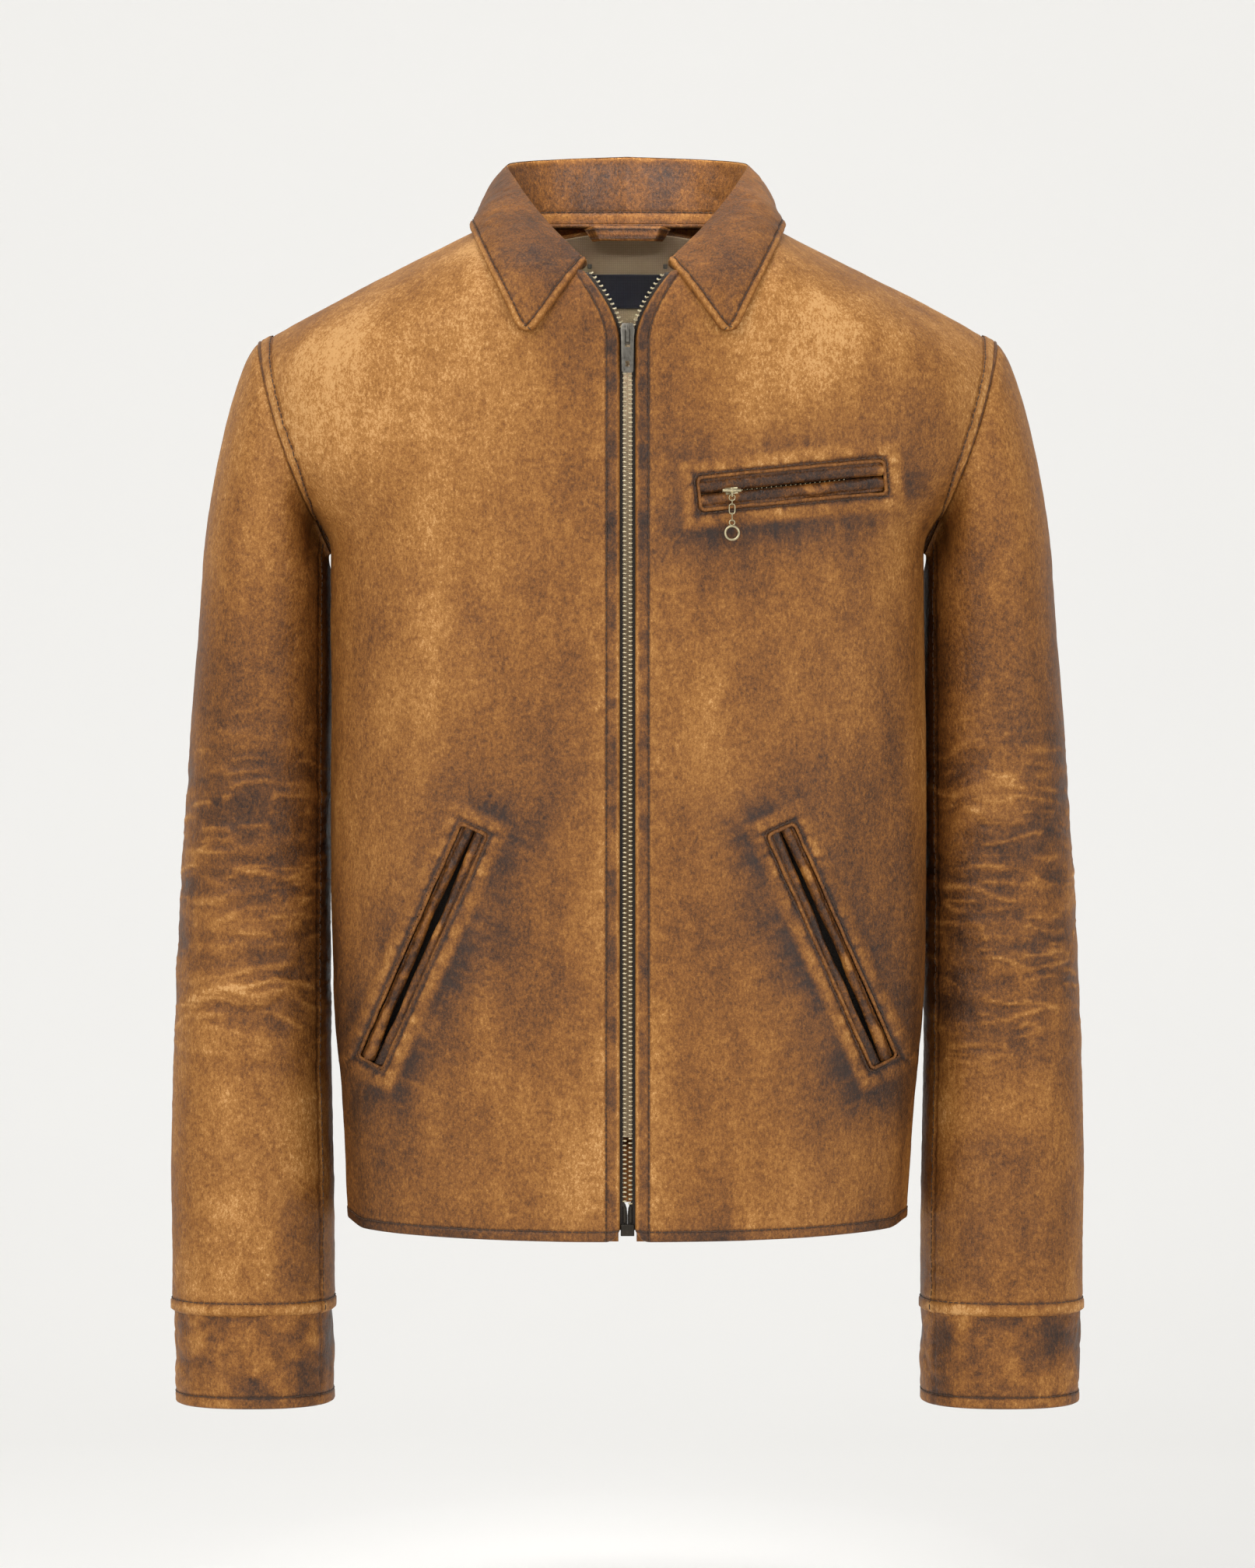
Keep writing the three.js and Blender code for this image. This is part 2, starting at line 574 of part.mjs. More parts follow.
function puller() {
  const half = 3.9;
  const length = 26;
  const thick = 1.2;
  const outline = new THREE.Shape();
  outline.moveTo(-half, 1.2);
  outline.lineTo(-half * 0.9, -length + 2);
  outline.quadraticCurveTo(-half * 0.9, -length, -half * 0.5, -length);
  outline.lineTo(half * 0.5, -length);
  outline.quadraticCurveTo(half * 0.9, -length, half * 0.9, -length + 2);
  outline.lineTo(half, 1.2);
  outline.closePath();
  outline.holes.push(holeAt(1.5, -0.7, -10.6), holeAt(1.3, -18.8, -22.4));
  const g = new THREE.ExtrudeGeometry(outline, { depth: thick, bevelEnabled: false, curveSegments: 4 });
  return g.rotateX(Math.PI / 2).translate(0, PULLER_PIVOT.y + thick / 2, PULLER_PIVOT.z);
}

const retainerBox = () => boxAt(0, TEETH_Y, -613, 8.2, 3.6, 7);
const endPin = () => boxAt(1.75, TEETH_Y, TEETH_END_Z - 5.6, 1.9, 2.2, 10.2);

// ---------- The chest pocket's zip and its pull chain ----------

const chestLine = pocketXZ(CHEST);
const CHEST_START = -37; // where the slider stands along the pocket, towards the front edge
const TRAVEL = 66;
const chestPoint = (b) => {
  const [x, z] = chestLine(0, b);
  return vec(x, frontY(x, z), z);
};
const chestFrom = chestPoint(CHEST_START);
const chestTo = chestPoint(CHEST_START + TRAVEL);
const chestTravel = chestTo.clone().sub(chestFrom).normalize();

// A block with its long side along the chest zip, its depth along the chest's own normal.
function chestBlock(along, up, depthFrom, depthTo, shift = 0) {
  const inward = vec(0, 1, 0).addScaledVector(chestTravel, -chestTravel.y).normalize();
  const upward = chestTravel.clone().cross(inward);
  const frame = new THREE.Matrix4().makeBasis(chestTravel, inward, upward);
  const centre = chestFrom.clone().addScaledVector(chestTravel, shift)
    .addScaledVector(inward, (depthFrom + depthTo) / 2);
  return new THREE.BoxGeometry(along, depthTo - depthFrom, up).applyMatrix4(frame.setPosition(centre));
}

const chestTape = () => chestBlock(TRAVEL + 18, 15, 5.6, 6.2, TRAVEL / 2);
const chestTeeth = () => chestBlock(TRAVEL + 12, 3.4, 3.7, 5.3, TRAVEL / 2);

const EYE = vec(chestFrom.x, chestFrom.y - 4.1, chestFrom.z - 3.4);

function chestSlider() {
  const body = chestBlock(7.5, 4, 0.6, 3.3);
  const post = boxAt(EYE.x, EYE.y + 2.1, chestFrom.z, 1.5, 5.6, 3.4);
  const crossbar = new THREE.CapsuleGeometry(1.15, 9.6, 3, 8).rotateZ(Math.PI / 2)
    .translate(EYE.x, EYE.y, EYE.z + 3.4);
  const eyeRing = new THREE.TorusGeometry(1.55, 0.5, 6, 12).rotateY(Math.PI / 2)
    .translate(EYE.x, EYE.y, EYE.z + 0.9);
  return joined(body, post, crossbar, eyeRing);
}

// A chain link: an oval of wire standing across the chest, or edge-on to it.
function link(halfLength, halfWidth, wire, top, edgeOn) {
  const centre = top - halfLength;
  const straight = halfLength - halfWidth;
  const rings = steps(14, 0, 2 * Math.PI).slice(0, -1).map((t) => {
    const out = vec(Math.sin(t), 0, Math.cos(t));
    const p = vec(halfWidth * out.x, 0, halfWidth * out.z + straight * Math.sign(Math.round(out.z * 1e6)));
    return steps(6, 0, 2 * Math.PI).slice(0, -1).map((a) => p.clone()
      .addScaledVector(out, wire * Math.cos(a)).add(vec(0, wire * Math.sin(a), 0)));
  });
  const g = loft(rings, true);
  if (edgeOn) g.rotateZ(Math.PI / 2);
  return g.translate(EYE.x, EYE.y, centre);
}

// Each link hangs on the one above it: name, half length, half width, wire radius, edge-on or not.
const LINKS = [
  ["pull_split_ring", 1.75, 1.75, 0.38, false],
  ["pull_link_upper", 1.9, 1.15, 0.36, true],
  ["pull_link_oval", 3.0, 1.7, 0.42, false],
  ["pull_link_lower", 2.7, 1.3, 0.36, true],
  ["pull_tag_eye", 1.6, 1.6, 0.4, false],
];
const HANG = 0.1; // play between two links' wires

function hungLinks() {
  let bottom = EYE.z - 0.65 + 0.5; // the lowest centre line of the wire or eye above
  let above = 0.5;
  return LINKS.map(([name, halfLength, halfWidth, wire, edgeOn]) => {
    const top = bottom + above + wire + HANG;
    const geometry = link(halfLength, halfWidth, wire, top, edgeOn);
    const made = { name, top, pivot: vec(EYE.x, EYE.y, bottom), geometry };
    bottom = top - 2 * halfLength;
    above = wire;
    return made;
  });
}

const chain = hungLinks();

function tagRing() {
  const eye = chain[4];
  const low = eye.top - 2 * 1.6;
  const ring = new THREE.TorusGeometry(4.1, 0.75, 6, 20).rotateX(Math.PI / 2)
    .translate(EYE.x, EYE.y, low - 4.1 - 0.5);
  return joined(eye.geometry, ring);
}

// ---------- The assembly ----------

const jacket = new THREE.Group();
jacket.position.set(0, -LOOP_Y, -LOOP_Z);

const FINISHES = {
  leather: { color: 0xa8763d, roughness: 0.55, metalness: 0 },
  piping: { color: 0x5a3a22, roughness: 0.4, metalness: 0 },
  lining: { color: 0x6f6351, roughness: 0.8, metalness: 0 },
  tape: { color: 0x2b241d, roughness: 0.9, metalness: 0 },
  label: { color: 0x232a3c, roughness: 0.8, metalness: 0 },
  brass: { color: 0xb59b62, roughness: 0.35, metalness: 1 },
  gunmetal: { color: 0x55524c, roughness: 0.35, metalness: 1 },
};

function add(name, finish, geometry) {
  const mesh = new THREE.Mesh(geometry, new THREE.MeshStandardMaterial(FINISHES[finish]));
  mesh.name = name;
  jacket.add(mesh);
}

const sideOf = (geometry, sign) => (sign > 0 ? geometry : mirrored(geometry));

// How far the body lining stands in: it clears the pockets, and meets the leather at its edges.
function liningDepth(s, v, p) {
  const beside = ease(s, 0.085, 0.128) * (1 - ease(s, 0.72, 0.95));
  const between = ease(p.z, -583, -560) * (1 - ease(p.z, -140, -85));
  return LEATHER + 0.6 + 15.8 * beside * between;
}

function addBody() {
  const front = frontPanel(0, LEATHER, FRONT_COLUMNS, ROWS);
  const handSlot = pocketCutter(HAND, HAND.width, HAND.length, -160, -40);
  const chestSlot = pocketCutter(CHEST, CHEST.width, CHEST.length, -160, -60);
  add("front_left", "leather", cut(front, handSlot, chestSlot));
  add("front_right", "leather", mirrored(cut(front, handSlot)));
  add("back", "leather", backPanel(0, LEATHER, BACK_COLUMNS, ROWS));

  const facingEnd = 0.085;
  const hemTop = 0.032;
  const linedRows = [hemTop + 0.003, ...within(ROWS, 0.062, 0.985)];
  const linedColumns = FRONT_COLUMNS.filter((s) => s > facingEnd && s < SEAM_S);
  const liningBack = (s, v, p) => liningDepth(s, v, p) + LINING;
  const frontLining = frontPanel(liningDepth, liningBack, linedColumns, linedRows);
  const facing = frontPanel(4.7, 5.9, [0.002, 0.03, facingEnd], within(ROWS, 0, 0.97));
  const hemFacing = frontPanel(LEATHER + 0.6, LEATHER + 1.7, linedColumns, [0, hemTop]);
  for (const [side, sign] of SIDES) {
    add(`lining_front_${side}`, "lining", sideOf(frontLining, sign));
    add(`front_facing_${side}`, "leather", sideOf(facing, sign));
    add(`hem_facing_${side}`, "leather", sideOf(hemFacing, sign));
  }
  const depth = LEATHER + 0.6;
  add("lining_back", "lining", backPanel(depth, depth + LINING, BACK_COLUMNS, linedRows));
  add("hem_facing_back", "leather", backPanel(depth, depth + 1.1, BACK_COLUMNS, [0, hemTop]));
}

function addNeck() {
  add("collar_stand", "leather", collarStand());
  add("collar_fall", "leather", collarFall());
  add("hanger_loop", "leather", hangerLoop());
  add("neck_label", "label", neckLabel());
}

function addFrontZip() {
  for (const [side, sign] of SIDES) {
    add(`zip_tape_${side}`, "tape", sideOf(zipTape(), sign));
    add(`zip_teeth_${side}`, "brass", sideOf(zipTeeth(), sign));
    add(`zip_top_stop_${side}`, "brass", sideOf(topStop(), sign));
    add(`zip_end_pin_${side}`, "gunmetal", sideOf(endPin(), sign));
  }
  add("zip_retainer_box", "gunmetal", retainerBox());
  add("zip_slider", "gunmetal", sliderBody());
  add("zip_puller", "gunmetal", puller());
}

function addPockets() {
  for (const [side, sign] of SIDES) {
    add(`hand_pocket_front_welt_${side}`, "piping", sideOf(welt(HAND, -1, HAND_AREA), sign));
    add(`hand_pocket_back_welt_${side}`, "piping", sideOf(welt(HAND, 1, HAND_AREA), sign));
    add(`hand_pocket_bag_${side}`, "lining", sideOf(handPocketBag(), sign));
  }
  add("chest_pocket_upper_welt", "piping", welt(CHEST, -1, CHEST_AREA));
  add("chest_pocket_lower_welt", "piping", welt(CHEST, 1, CHEST_AREA));
  add("chest_pocket_bag", "lining", frontPatch(9.6, 11, steps(6, 64, 152), steps(4, -290, -152)));
  add("chest_zip_tape", "tape", chestTape());
  add("chest_zip_teeth", "brass", chestTeeth());
  add("chest_zip_slider", "brass", chestSlider());
  for (const { name, geometry } of chain.slice(0, 4)) add(name, "brass", geometry);
  add("pull_tag_ring", "brass", tagRing());
}

function addSleeves() {
  for (const [side, sign] of SIDES) {
    const out = (geometry) => sideOf(geometry, sign);
    add(`armhole_seam_${side}`, "leather", out(armholeSeam()));
    add(`sleeve_upper_${side}`, "leather", out(upperSleeve(0, SLEEVE_LEATHER, UPPER_ROWS)));
    add(`sleeve_upper_lining_${side}`, "lining", out(upperSleeve(...SLEEVE_LINING, UPPER_ROWS.slice(2))));
    add(`forearm_top_${side}`, "leather",
      out(forearmPanel(0, SLEEVE_LEATHER, BACK_SEAM - 2 * Math.PI, FRONT_SEAM, 14)));
    add(`forearm_under_${side}`, "leather",
      out(forearmPanel(0, SLEEVE_LEATHER, FRONT_SEAM + 0.008, BACK_SEAM - 0.008, 6)));
    add(`forearm_lining_${side}`, "lining", out(forearmLining(...SLEEVE_LINING)));
    add(`cuff_${side}`, "leather", out(cuff(1.2, 3.6)));
  }
}

addBody();
addNeck();
addFrontZip();
addPockets();
addSleeves();

export default jacket;
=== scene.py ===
# A tan leather riding jacket: detailed skins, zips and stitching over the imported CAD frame.
# Shapes are worked out in millimetres in the jacket's own axes: +Z up, -Y the front, +X the wearer's left.
import math

import bmesh
import bpy
import numpy as np
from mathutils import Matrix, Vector


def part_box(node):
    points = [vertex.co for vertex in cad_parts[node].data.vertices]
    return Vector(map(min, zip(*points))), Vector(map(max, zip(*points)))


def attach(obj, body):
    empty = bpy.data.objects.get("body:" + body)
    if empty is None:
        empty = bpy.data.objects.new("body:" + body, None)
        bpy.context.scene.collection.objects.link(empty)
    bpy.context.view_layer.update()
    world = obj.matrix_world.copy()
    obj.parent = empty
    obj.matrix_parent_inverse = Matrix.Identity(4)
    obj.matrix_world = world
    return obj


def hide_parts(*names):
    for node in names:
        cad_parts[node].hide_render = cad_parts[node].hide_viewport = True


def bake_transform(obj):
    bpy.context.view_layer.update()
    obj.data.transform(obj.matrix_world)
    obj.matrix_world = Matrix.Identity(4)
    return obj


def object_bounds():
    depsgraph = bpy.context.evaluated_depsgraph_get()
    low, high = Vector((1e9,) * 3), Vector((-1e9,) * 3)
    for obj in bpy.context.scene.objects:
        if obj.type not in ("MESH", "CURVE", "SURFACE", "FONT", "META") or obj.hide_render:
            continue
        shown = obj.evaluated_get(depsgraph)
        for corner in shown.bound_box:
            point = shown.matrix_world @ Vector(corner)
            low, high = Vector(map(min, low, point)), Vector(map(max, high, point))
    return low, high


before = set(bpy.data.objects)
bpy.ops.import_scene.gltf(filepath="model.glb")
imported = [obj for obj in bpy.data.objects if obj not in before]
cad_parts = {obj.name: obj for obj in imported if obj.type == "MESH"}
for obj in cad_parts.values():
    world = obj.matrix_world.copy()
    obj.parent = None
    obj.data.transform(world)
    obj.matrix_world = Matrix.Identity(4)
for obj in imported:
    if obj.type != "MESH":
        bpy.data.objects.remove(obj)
cad_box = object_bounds()

# ---------- Driving dimensions ----------

ORIGIN = np.array([0, 50, 2])  # the hanger loop's bearing point, which is the frame's origin

FRONT_Y, BACK_Y, RIDGE_Y, SIDE_Y = -125, 112, 12, -15
SECTION_POWER, RIDGE_POWER = 2.6, 2.2
FRONT_DROP, BACK_DROP = 68, 90
NECK_X, NECK_Z = 78, 2
BACK_NECK_RISE, BACK_NECK_DROP = 20, 10
SHOULDER_X, SLOPE_X, SLOPE_RISE, SHOULDER_FALL = 230, 93, 0.6, 0.505
SHOULDER_Z = NECK_Z + SLOPE_RISE - (SHOULDER_X - SLOPE_X) * SHOULDER_FALL
ARMPIT_X, ARMPIT_Z = 184, -200
HEM_MIDDLE_Z, HEM_SIDE_Z = -620, -616
ZIP_GAP, V_START_Z, V_TOP_X, V_TOP_Z = 4.8, -78, 26, -34
ELBOW_Z, SLEEVE_RING_Z, SLEEVE_END_Z, CUFF_TOP_Z, CUFF_END_Z = -410, -215, -673, -664, -730
FRONT_SEAM, BACK_SEAM = math.radians(148), math.radians(250)
PLACKET, HEM_STITCH, STRIP, NECK_STITCH = 8, 6, 8, 6  # how far the stitching stands from the edges
SLEEVE_STITCH, CUFF_STITCH, COLLAR_STITCH, STAND_STITCH = 8, 7, 5, 8
TEETH_DEPTH, TEETH_END_Z, TOOTH_PITCH = 3.9, -598, 2.8
SIDES = (("left", 1), ("right", -1))
TIP_BOW, TIP_RADIUS, HEM_RADIUS = 5.5, 16, 9

# ---------- Small maths ----------


def ease(x, low, high):
    t = np.clip((x - low) / (high - low), 0, 1)
    return t * t * (3 - 2 * t)


def lerp(a, b, t):
    return a + (b - a) * t


def hump(x, middle, width):
    return np.exp(-(((x - middle) / width) ** 2))


def roll(distance, radius):
    """How far a rounded edge falls back at a distance from it."""
    inside = np.clip(radius - distance, 0, radius)
    return radius - np.sqrt(radius**2 - inside**2)


def xyz(x, y, z):
    """Points or directions from coordinates, each of them an array or one number."""
    return np.stack(np.broadcast_arrays(x, y, z), -1)


def unit(v):
    return v / np.maximum(np.linalg.norm(v, axis=-1, keepdims=True), 1e-9)


def hermite(t):
    """A cubic's weights for its start and for its start and end slopes; its end has 1 less the first."""
    return 2 * t**3 - 3 * t**2 + 1, t**3 - 2 * t**2 + t, t**3 - t**2


def through(*knots):
    """A smooth function through (x, y) knots that never overshoots them and is flat past its ends."""
    xs, ys = np.array(knots, float).T
    secant = np.diff(ys) / np.diff(xs)
    before, after = secant[:-1], secant[1:]
    total = np.where(before + after == 0, 1, before + after)
    middle = np.where(before * after > 0, 2 * before * after / total, 0)
    slope = np.concatenate([secant[:1], middle, secant[-1:]])

    def f(x):
        x = np.clip(np.asarray(x, float), xs[0], xs[-1])
        i = np.clip(np.searchsorted(xs, x, side="right") - 1, 0, len(xs) - 2)
        width = xs[i + 1] - xs[i]
        t = (x - xs[i]) / width
        a, b, c = hermite(t)
        return a * ys[i] + b * width * slope[i] + (1 - a) * ys[i + 1] + c * width * slope[i + 1]

    return f


def through_points(*knots):
    axes = [through(*[(k[0], k[a]) for k in knots]) for a in (1, 2, 3)]
    return lambda t: np.stack([f(t) for f in axes], -1)


def lattice(cell, seed):
    h = cell[..., 0] * 374761393 + cell[..., 1] * 668265263 + cell[..., 2] * 1440662683 + seed * 1274126177
    h = ((h & 0xFFFFFFFF) ^ ((h & 0xFFFFFFFF) >> 13)) * 1274126177 & 0xFFFFFFFF
    return ((h ^ (h >> 16)) & 0xFFFF) / 32767.5 - 1


def noise(p, size, seed=0):
    """Smooth noise from about -1 to 1 at points in millimetres, with features of about that size."""
    q = np.asarray(p, float) / size
    low = np.floor(q).astype(np.int64)
    t = q - low
    t = t * t * t * (t * (6 * t - 15) + 10)
    total = 0
    for corner in np.ndindex(2, 2, 2):
        weight = np.prod(np.where(corner, t, 1 - t), axis=-1)
        total = total + weight * lattice(low + corner, seed)
    return total


def rumple(p, size, seed, octaves=3):
    return sum(noise(p, size / 2**k, seed + k) / 2**k for k in range(octaves)) / 1.6


def folds(p, size, stretch, slant, seed):
    """Creases in leather: sharp valleys between round ridges, running along x with a slant."""
    q = xyz(p[..., 0] / stretch, p[..., 1] / stretch, p[..., 2] + slant * p[..., 0])
    q = (q + 0.3 * size
         * xyz(noise(p, size * 1.6, seed + 5), noise(p, size * 1.6, seed + 6),
               noise(p, size * 1.3, seed + 7)))
    return 1.7 * np.abs(noise(q, size, seed)) ** 0.75 - 0.7


# ---------- The body's shape ----------

body_half_width = through((-640, 172), (-560, 176), (-480, 182.5), (-400, 185), (-300, 184.5),
                          (ARMPIT_Z, ARMPIT_X), (-140, 223), (SHOULDER_Z, 245), (60, 258))


def edge_x(z):
    t = np.clip((z - ARMPIT_Z) / (SHOULDER_Z - ARMPIT_Z), 0, 1)
    armhole = lerp(ARMPIT_X, SHOULDER_X, t) + 4.5 * np.sin(np.pi * t)
    return np.where(z < ARMPIT_Z, body_half_width(z), armhole)


def round_over(t, power):
    return (1 - (1 - np.clip(t, 0, 1)) ** power) ** (1 / power)


def across(q):
    return (1 - np.clip(np.abs(q), 0, 1) ** SECTION_POWER) ** (1 / SECTION_POWER)


def ridge_z(x, is_back):
    out = np.abs(x)
    rise = BACK_NECK_RISE * (1 - np.clip(out / NECK_X, 0, 1) ** 2) if is_back else 0
    return (NECK_Z + rise + SLOPE_RISE * ease(out, NECK_X, SLOPE_X) - np.maximum(0, out - SLOPE_X)
            * SHOULDER_FALL)


def skin_y(x, z, is_back):
    drop = ridge_z(x, is_back) - z
    seam = lerp(RIDGE_Y, SIDE_Y, ease(drop, 0, 120))
    far, depth = (BACK_Y, BACK_DROP) if is_back else (FRONT_Y, FRONT_DROP)
    return seam + (far - seam) * round_over(drop / depth, RIDGE_POWER) * across(x / body_half_width(z))


def on_body(x, z, is_back=False):
    return xyz(x, skin_y(x, z, is_back), z)


def front_edge_x(z):
    t = np.clip((z - V_START_Z) / (V_TOP_Z - V_START_Z), 0, 1)
    return lerp(ZIP_GAP, V_TOP_X, t**1.6)


def neckline_z(x):
    inside = lerp(V_TOP_Z, NECK_Z, np.clip((x - V_TOP_X) / (NECK_X - V_TOP_X), 0, 1) ** 1.6)
    return np.where(x >= NECK_X, ridge_z(x, False), inside)


def front_surface(share, v):
    below = (1 - v) ** 1.7
    edge = front_edge_x(lerp(V_TOP_Z, HEM_MIDDLE_Z, below))
    hem = lerp(HEM_MIDDLE_Z, HEM_SIDE_Z, share**2) + 3.5 * ease(share, 0.93, 1.0)
    z = lerp(neckline_z(lerp(V_TOP_X, SHOULDER_X, share)), hem, below)
    x = lerp(edge, edge_x(z), share)
    return on_body(x, z)


def back_surface(share, v):
    out = np.abs(share) * SHOULDER_X
    neck = BACK_NECK_DROP * (1 - np.clip(out / NECK_X, 0, 1) ** 4)
    z = lerp(ridge_z(out, True) - neck, HEM_SIDE_Z, (1 - v) ** 1.7)
    x = share * edge_x(z)
    return on_body(x, z, True)


def lengths_along(points):
    """How far along a line of points each of them is."""
    return np.concatenate([[0], np.cumsum(np.linalg.norm(np.diff(points, axis=0), axis=1))])


def spaced(points, values, coarse, fine, margin):
    """The values at even steps along a line of points, with finer steps near both of its ends."""
    length = lengths_along(points)
    total = length[-1]
    near = np.arange(0, margin, fine)
    middle = np.linspace(margin, total - margin, max(2, round((total - 2 * margin) / coarse)))
    return np.interp(np.concatenate([near, middle, (total - near)[::-1]]), length, values)


def grid_of(surface, columns, rows):
    u, v = np.meshgrid(columns, rows)
    return surface(u, v)


def steps_along(surface, coarse, fine, low=0, samples=3001):
    """Column and row values that space a surface's grid evenly in millimetres."""
    margin = 12
    dense = np.linspace(low, 1, samples)
    columns = spaced(surface(dense, np.full_like(dense, 0.35)), dense, coarse, fine, margin)
    v = np.linspace(0, 1, 3001)
    rows = spaced(surface(np.full_like(v, 0.55), v), v, coarse, fine, margin)
    return columns, rows


def normals_of(grid, wrap=False):
    if wrap:
        padded = np.concatenate([grid[:, -1:], grid, grid[:, :1]], axis=1)
        du = np.gradient(padded, axis=1)[:, 1:-1]
    else:
        du = np.gradient(grid, axis=1)
    return unit(np.cross(du, np.gradient(grid, axis=0)))


def away_from(grid, normals, inner):
    """Normals turned to point away from an inner point or points."""
    facing = np.sum(normals * (grid - inner), axis=-1, keepdims=True)
    return normals * np.where(np.sum(facing) < 0, -1, 1)


def outer_normals(grid, inner):
    return away_from(grid, normals_of(grid), inner)


def distances(grid):
    """How far each point is from the first and last column, and from the first and last row."""
    du = np.linalg.norm(np.diff(grid, axis=1), axis=2)
    dv = np.linalg.norm(np.diff(grid, axis=0), axis=2)
    from_left = np.pad(np.cumsum(du, axis=1), ((0, 0), (1, 0)))
    from_low = np.pad(np.cumsum(dv, axis=0), ((1, 0), (0, 0)))
    return from_left, from_left[:, -1:] - from_left, from_low, from_low[-1:] - from_low


# ---------- Meshes ----------


def place(p):
    return (np.asarray(p, float) - ORIGIN) / 1000


def quads_of(rows, columns, wrap=False):
    r, c = np.meshgrid(np.arange(rows - 1), np.arange(columns if wrap else columns - 1), indexing="ij")
    right = (c + 1) % columns
    return np.stack([r * columns + c, r * columns + right, (r + 1) * columns + right, (r + 1) * columns
                     + c], -1).reshape(-1, 4)


def piece(name, points, quads, material, body=None, nodes=(), slot=None, masks=None):
    """A mesh object from points in jacket millimetres that rides on a body and stands for CAD nodes."""
    mesh = bpy.data.meshes.new(name)
    co = place(points).reshape(-1, 3)
    quads = np.asarray(quads, np.int32)
    mesh.vertices.add(len(co))
    mesh.vertices.foreach_set("co", co.ravel())
    mesh.loops.add(quads.size)
    mesh.loops.foreach_set("vertex_index", quads.ravel())
    mesh.polygons.add(len(quads))
    mesh.polygons.foreach_set("loop_start", np.arange(0, quads.size, quads.shape[1], dtype=np.int32))
    mesh.update(calc_edges=True)
    mesh.polygons.foreach_set("use_smooth", np.full(len(quads), True))
    rest = mesh.attributes.new("rest", "FLOAT_VECTOR", "POINT")
    rest.data.foreach_set("vector", co.ravel())
    for key, values in (masks or {}).items():
        layer = mesh.attributes.new(key, "FLOAT", "POINT")
        layer.data.foreach_set("value", np.broadcast_to(np.ravel(values), len(co)).astype(float))
    mesh.materials.append(material)
    obj = bpy.data.objects.new(name, mesh)
    bpy.context.scene.collection.objects.link(obj)
    if body:
        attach(obj, body)
    if nodes:
        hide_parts(*nodes)
    return obj


def marks(burn_and_painted_shade=0.0, rub_and_painted_light=0.0, height=0.0):
    """The leather's masks at each point or all over: darkening from burnish and painted shade, lightening
    from rubbed wear and painted light, and how raised it is.
    """
    return {"burn_and_painted_shade": burn_and_painted_shade, "rub_and_painted_light": rub_and_painted_light, "height": height}


ALL_ENDS = ("left", "right", "low", "high")


def outward(points, quads, outside):
    """Faces turned so that most of them look the way the normals do."""
    p = points.reshape(-1, 3)
    face = np.cross(p[quads[:, 2]] - p[quads[:, 0]], p[quads[:, 3]] - p[quads[:, 1]])
    same = np.sum(face * outside.reshape(-1, 3)[quads[:, 0]])
    return quads if same > 0 else quads[:, ::-1]


def hemmed(top, base, normals, turn=5.0, thick=1.6, ends=ALL_ENDS):
    """A skin's grid with its edges turned under, so that every open edge shows a rounded leather fold."""
    for end in ends:
        axis, at, further = {"left": (1, 0, 6), "right": (1, -1, -7), "low": (0, 0, 6),
                             "high": (0, -1, -7)}[end]
        edge, n = np.take(top, at, axis), np.take(normals, at, axis)
        inward = unit(np.take(base, further, axis) - np.take(base, at, axis))
        rings = [edge - n * thick * 0.5 - inward * 0.15, edge - n * thick + inward * 0.5, edge - n * thick
                 + inward * turn]
        extra = np.stack(rings[::-1] if at == 0 else rings, axis)
        flat = np.stack([np.take(base, at, axis)] * 3, axis)
        repeat = np.stack([n] * 3, axis)
        joined = [(extra, top), (flat, base), (repeat, normals)]
        top, base, normals = (np.concatenate(pair if at == 0 else pair[::-1], axis) for pair in joined)
    return top, normals


def pad_like(values, ends):
    """Mask values carried over the turned edges that hemmed adds."""
    for end in ends:
        axis, low = {"left": (1, True), "right": (1, False), "low": (0, True), "high": (0, False)}[end]
        width = [(0, 0), (0, 0)]
        width[axis] = (3, 0) if low else (0, 3)
        values = np.pad(values, width, mode="edge")
    return values


def leather_skin(name, grid, normals, height, material, body, nodes, burn_and_painted_shade, rub_and_painted_light, ends=ALL_ENDS, wrap=False,
                 slot="leather", turn=5.0, thick=1.6, holes=None):
    """A leather panel raised by a height field, with turned edges and masks for its burnish, wear and
    painted light and shade.
    """
    top = grid + normals * height[..., None]
    fine = normals_of(top, wrap)
    fine = fine * np.where(np.sum(fine * normals, axis=-1, keepdims=True) < 0, -1, 1)
    skin, skin_normals = hemmed(top, grid, normals, turn, thick, ends)
    masks = marks(*(pad_like(values, ends) for values in (burn_and_painted_shade, rub_and_painted_light, height)))
    quads = outward(skin, quads_of(*skin.shape[:2], wrap), skin_normals)
    if holes is not None:
        gone = pad_like(holes.astype(float), ends).ravel()
        quads = quads[gone[quads].mean(axis=1) < 0.6]
    return piece(name, skin, quads, material, body, nodes, slot, masks), top, fine


def tube(path, radius, sides=8, closed=False, normal=(0, 1, 0)):
    """Rings of points round a path, and the quads that join them."""
    path = np.asarray(path, float)
    along = np.roll(path, -1, 0) - np.roll(path, 1, 0) if closed else np.gradient(path, axis=0)
    along = unit(along)
    side = unit(np.cross(along, np.broadcast_to(normal, path.shape)))
    up = np.cross(side, along)
    a = np.linspace(0, 2 * np.pi, sides, endpoint=False)
    radius = np.broadcast_to(radius, len(path))[:, None, None]
    ring = np.cos(a)[None, :, None] * side[:, None] + np.sin(a)[None, :, None] * up[:, None]
    points = path[:, None] + radius * ring
    quads = quads_of(len(path), sides, wrap=True)
    if closed:
        last = (len(path) - 1) * sides
        i = np.arange(sides)
        j = (i + 1) % sides
        quads = np.concatenate([quads, np.stack([last + i, last + j, j, i], -1)])
    return points.reshape(-1, 3), quads


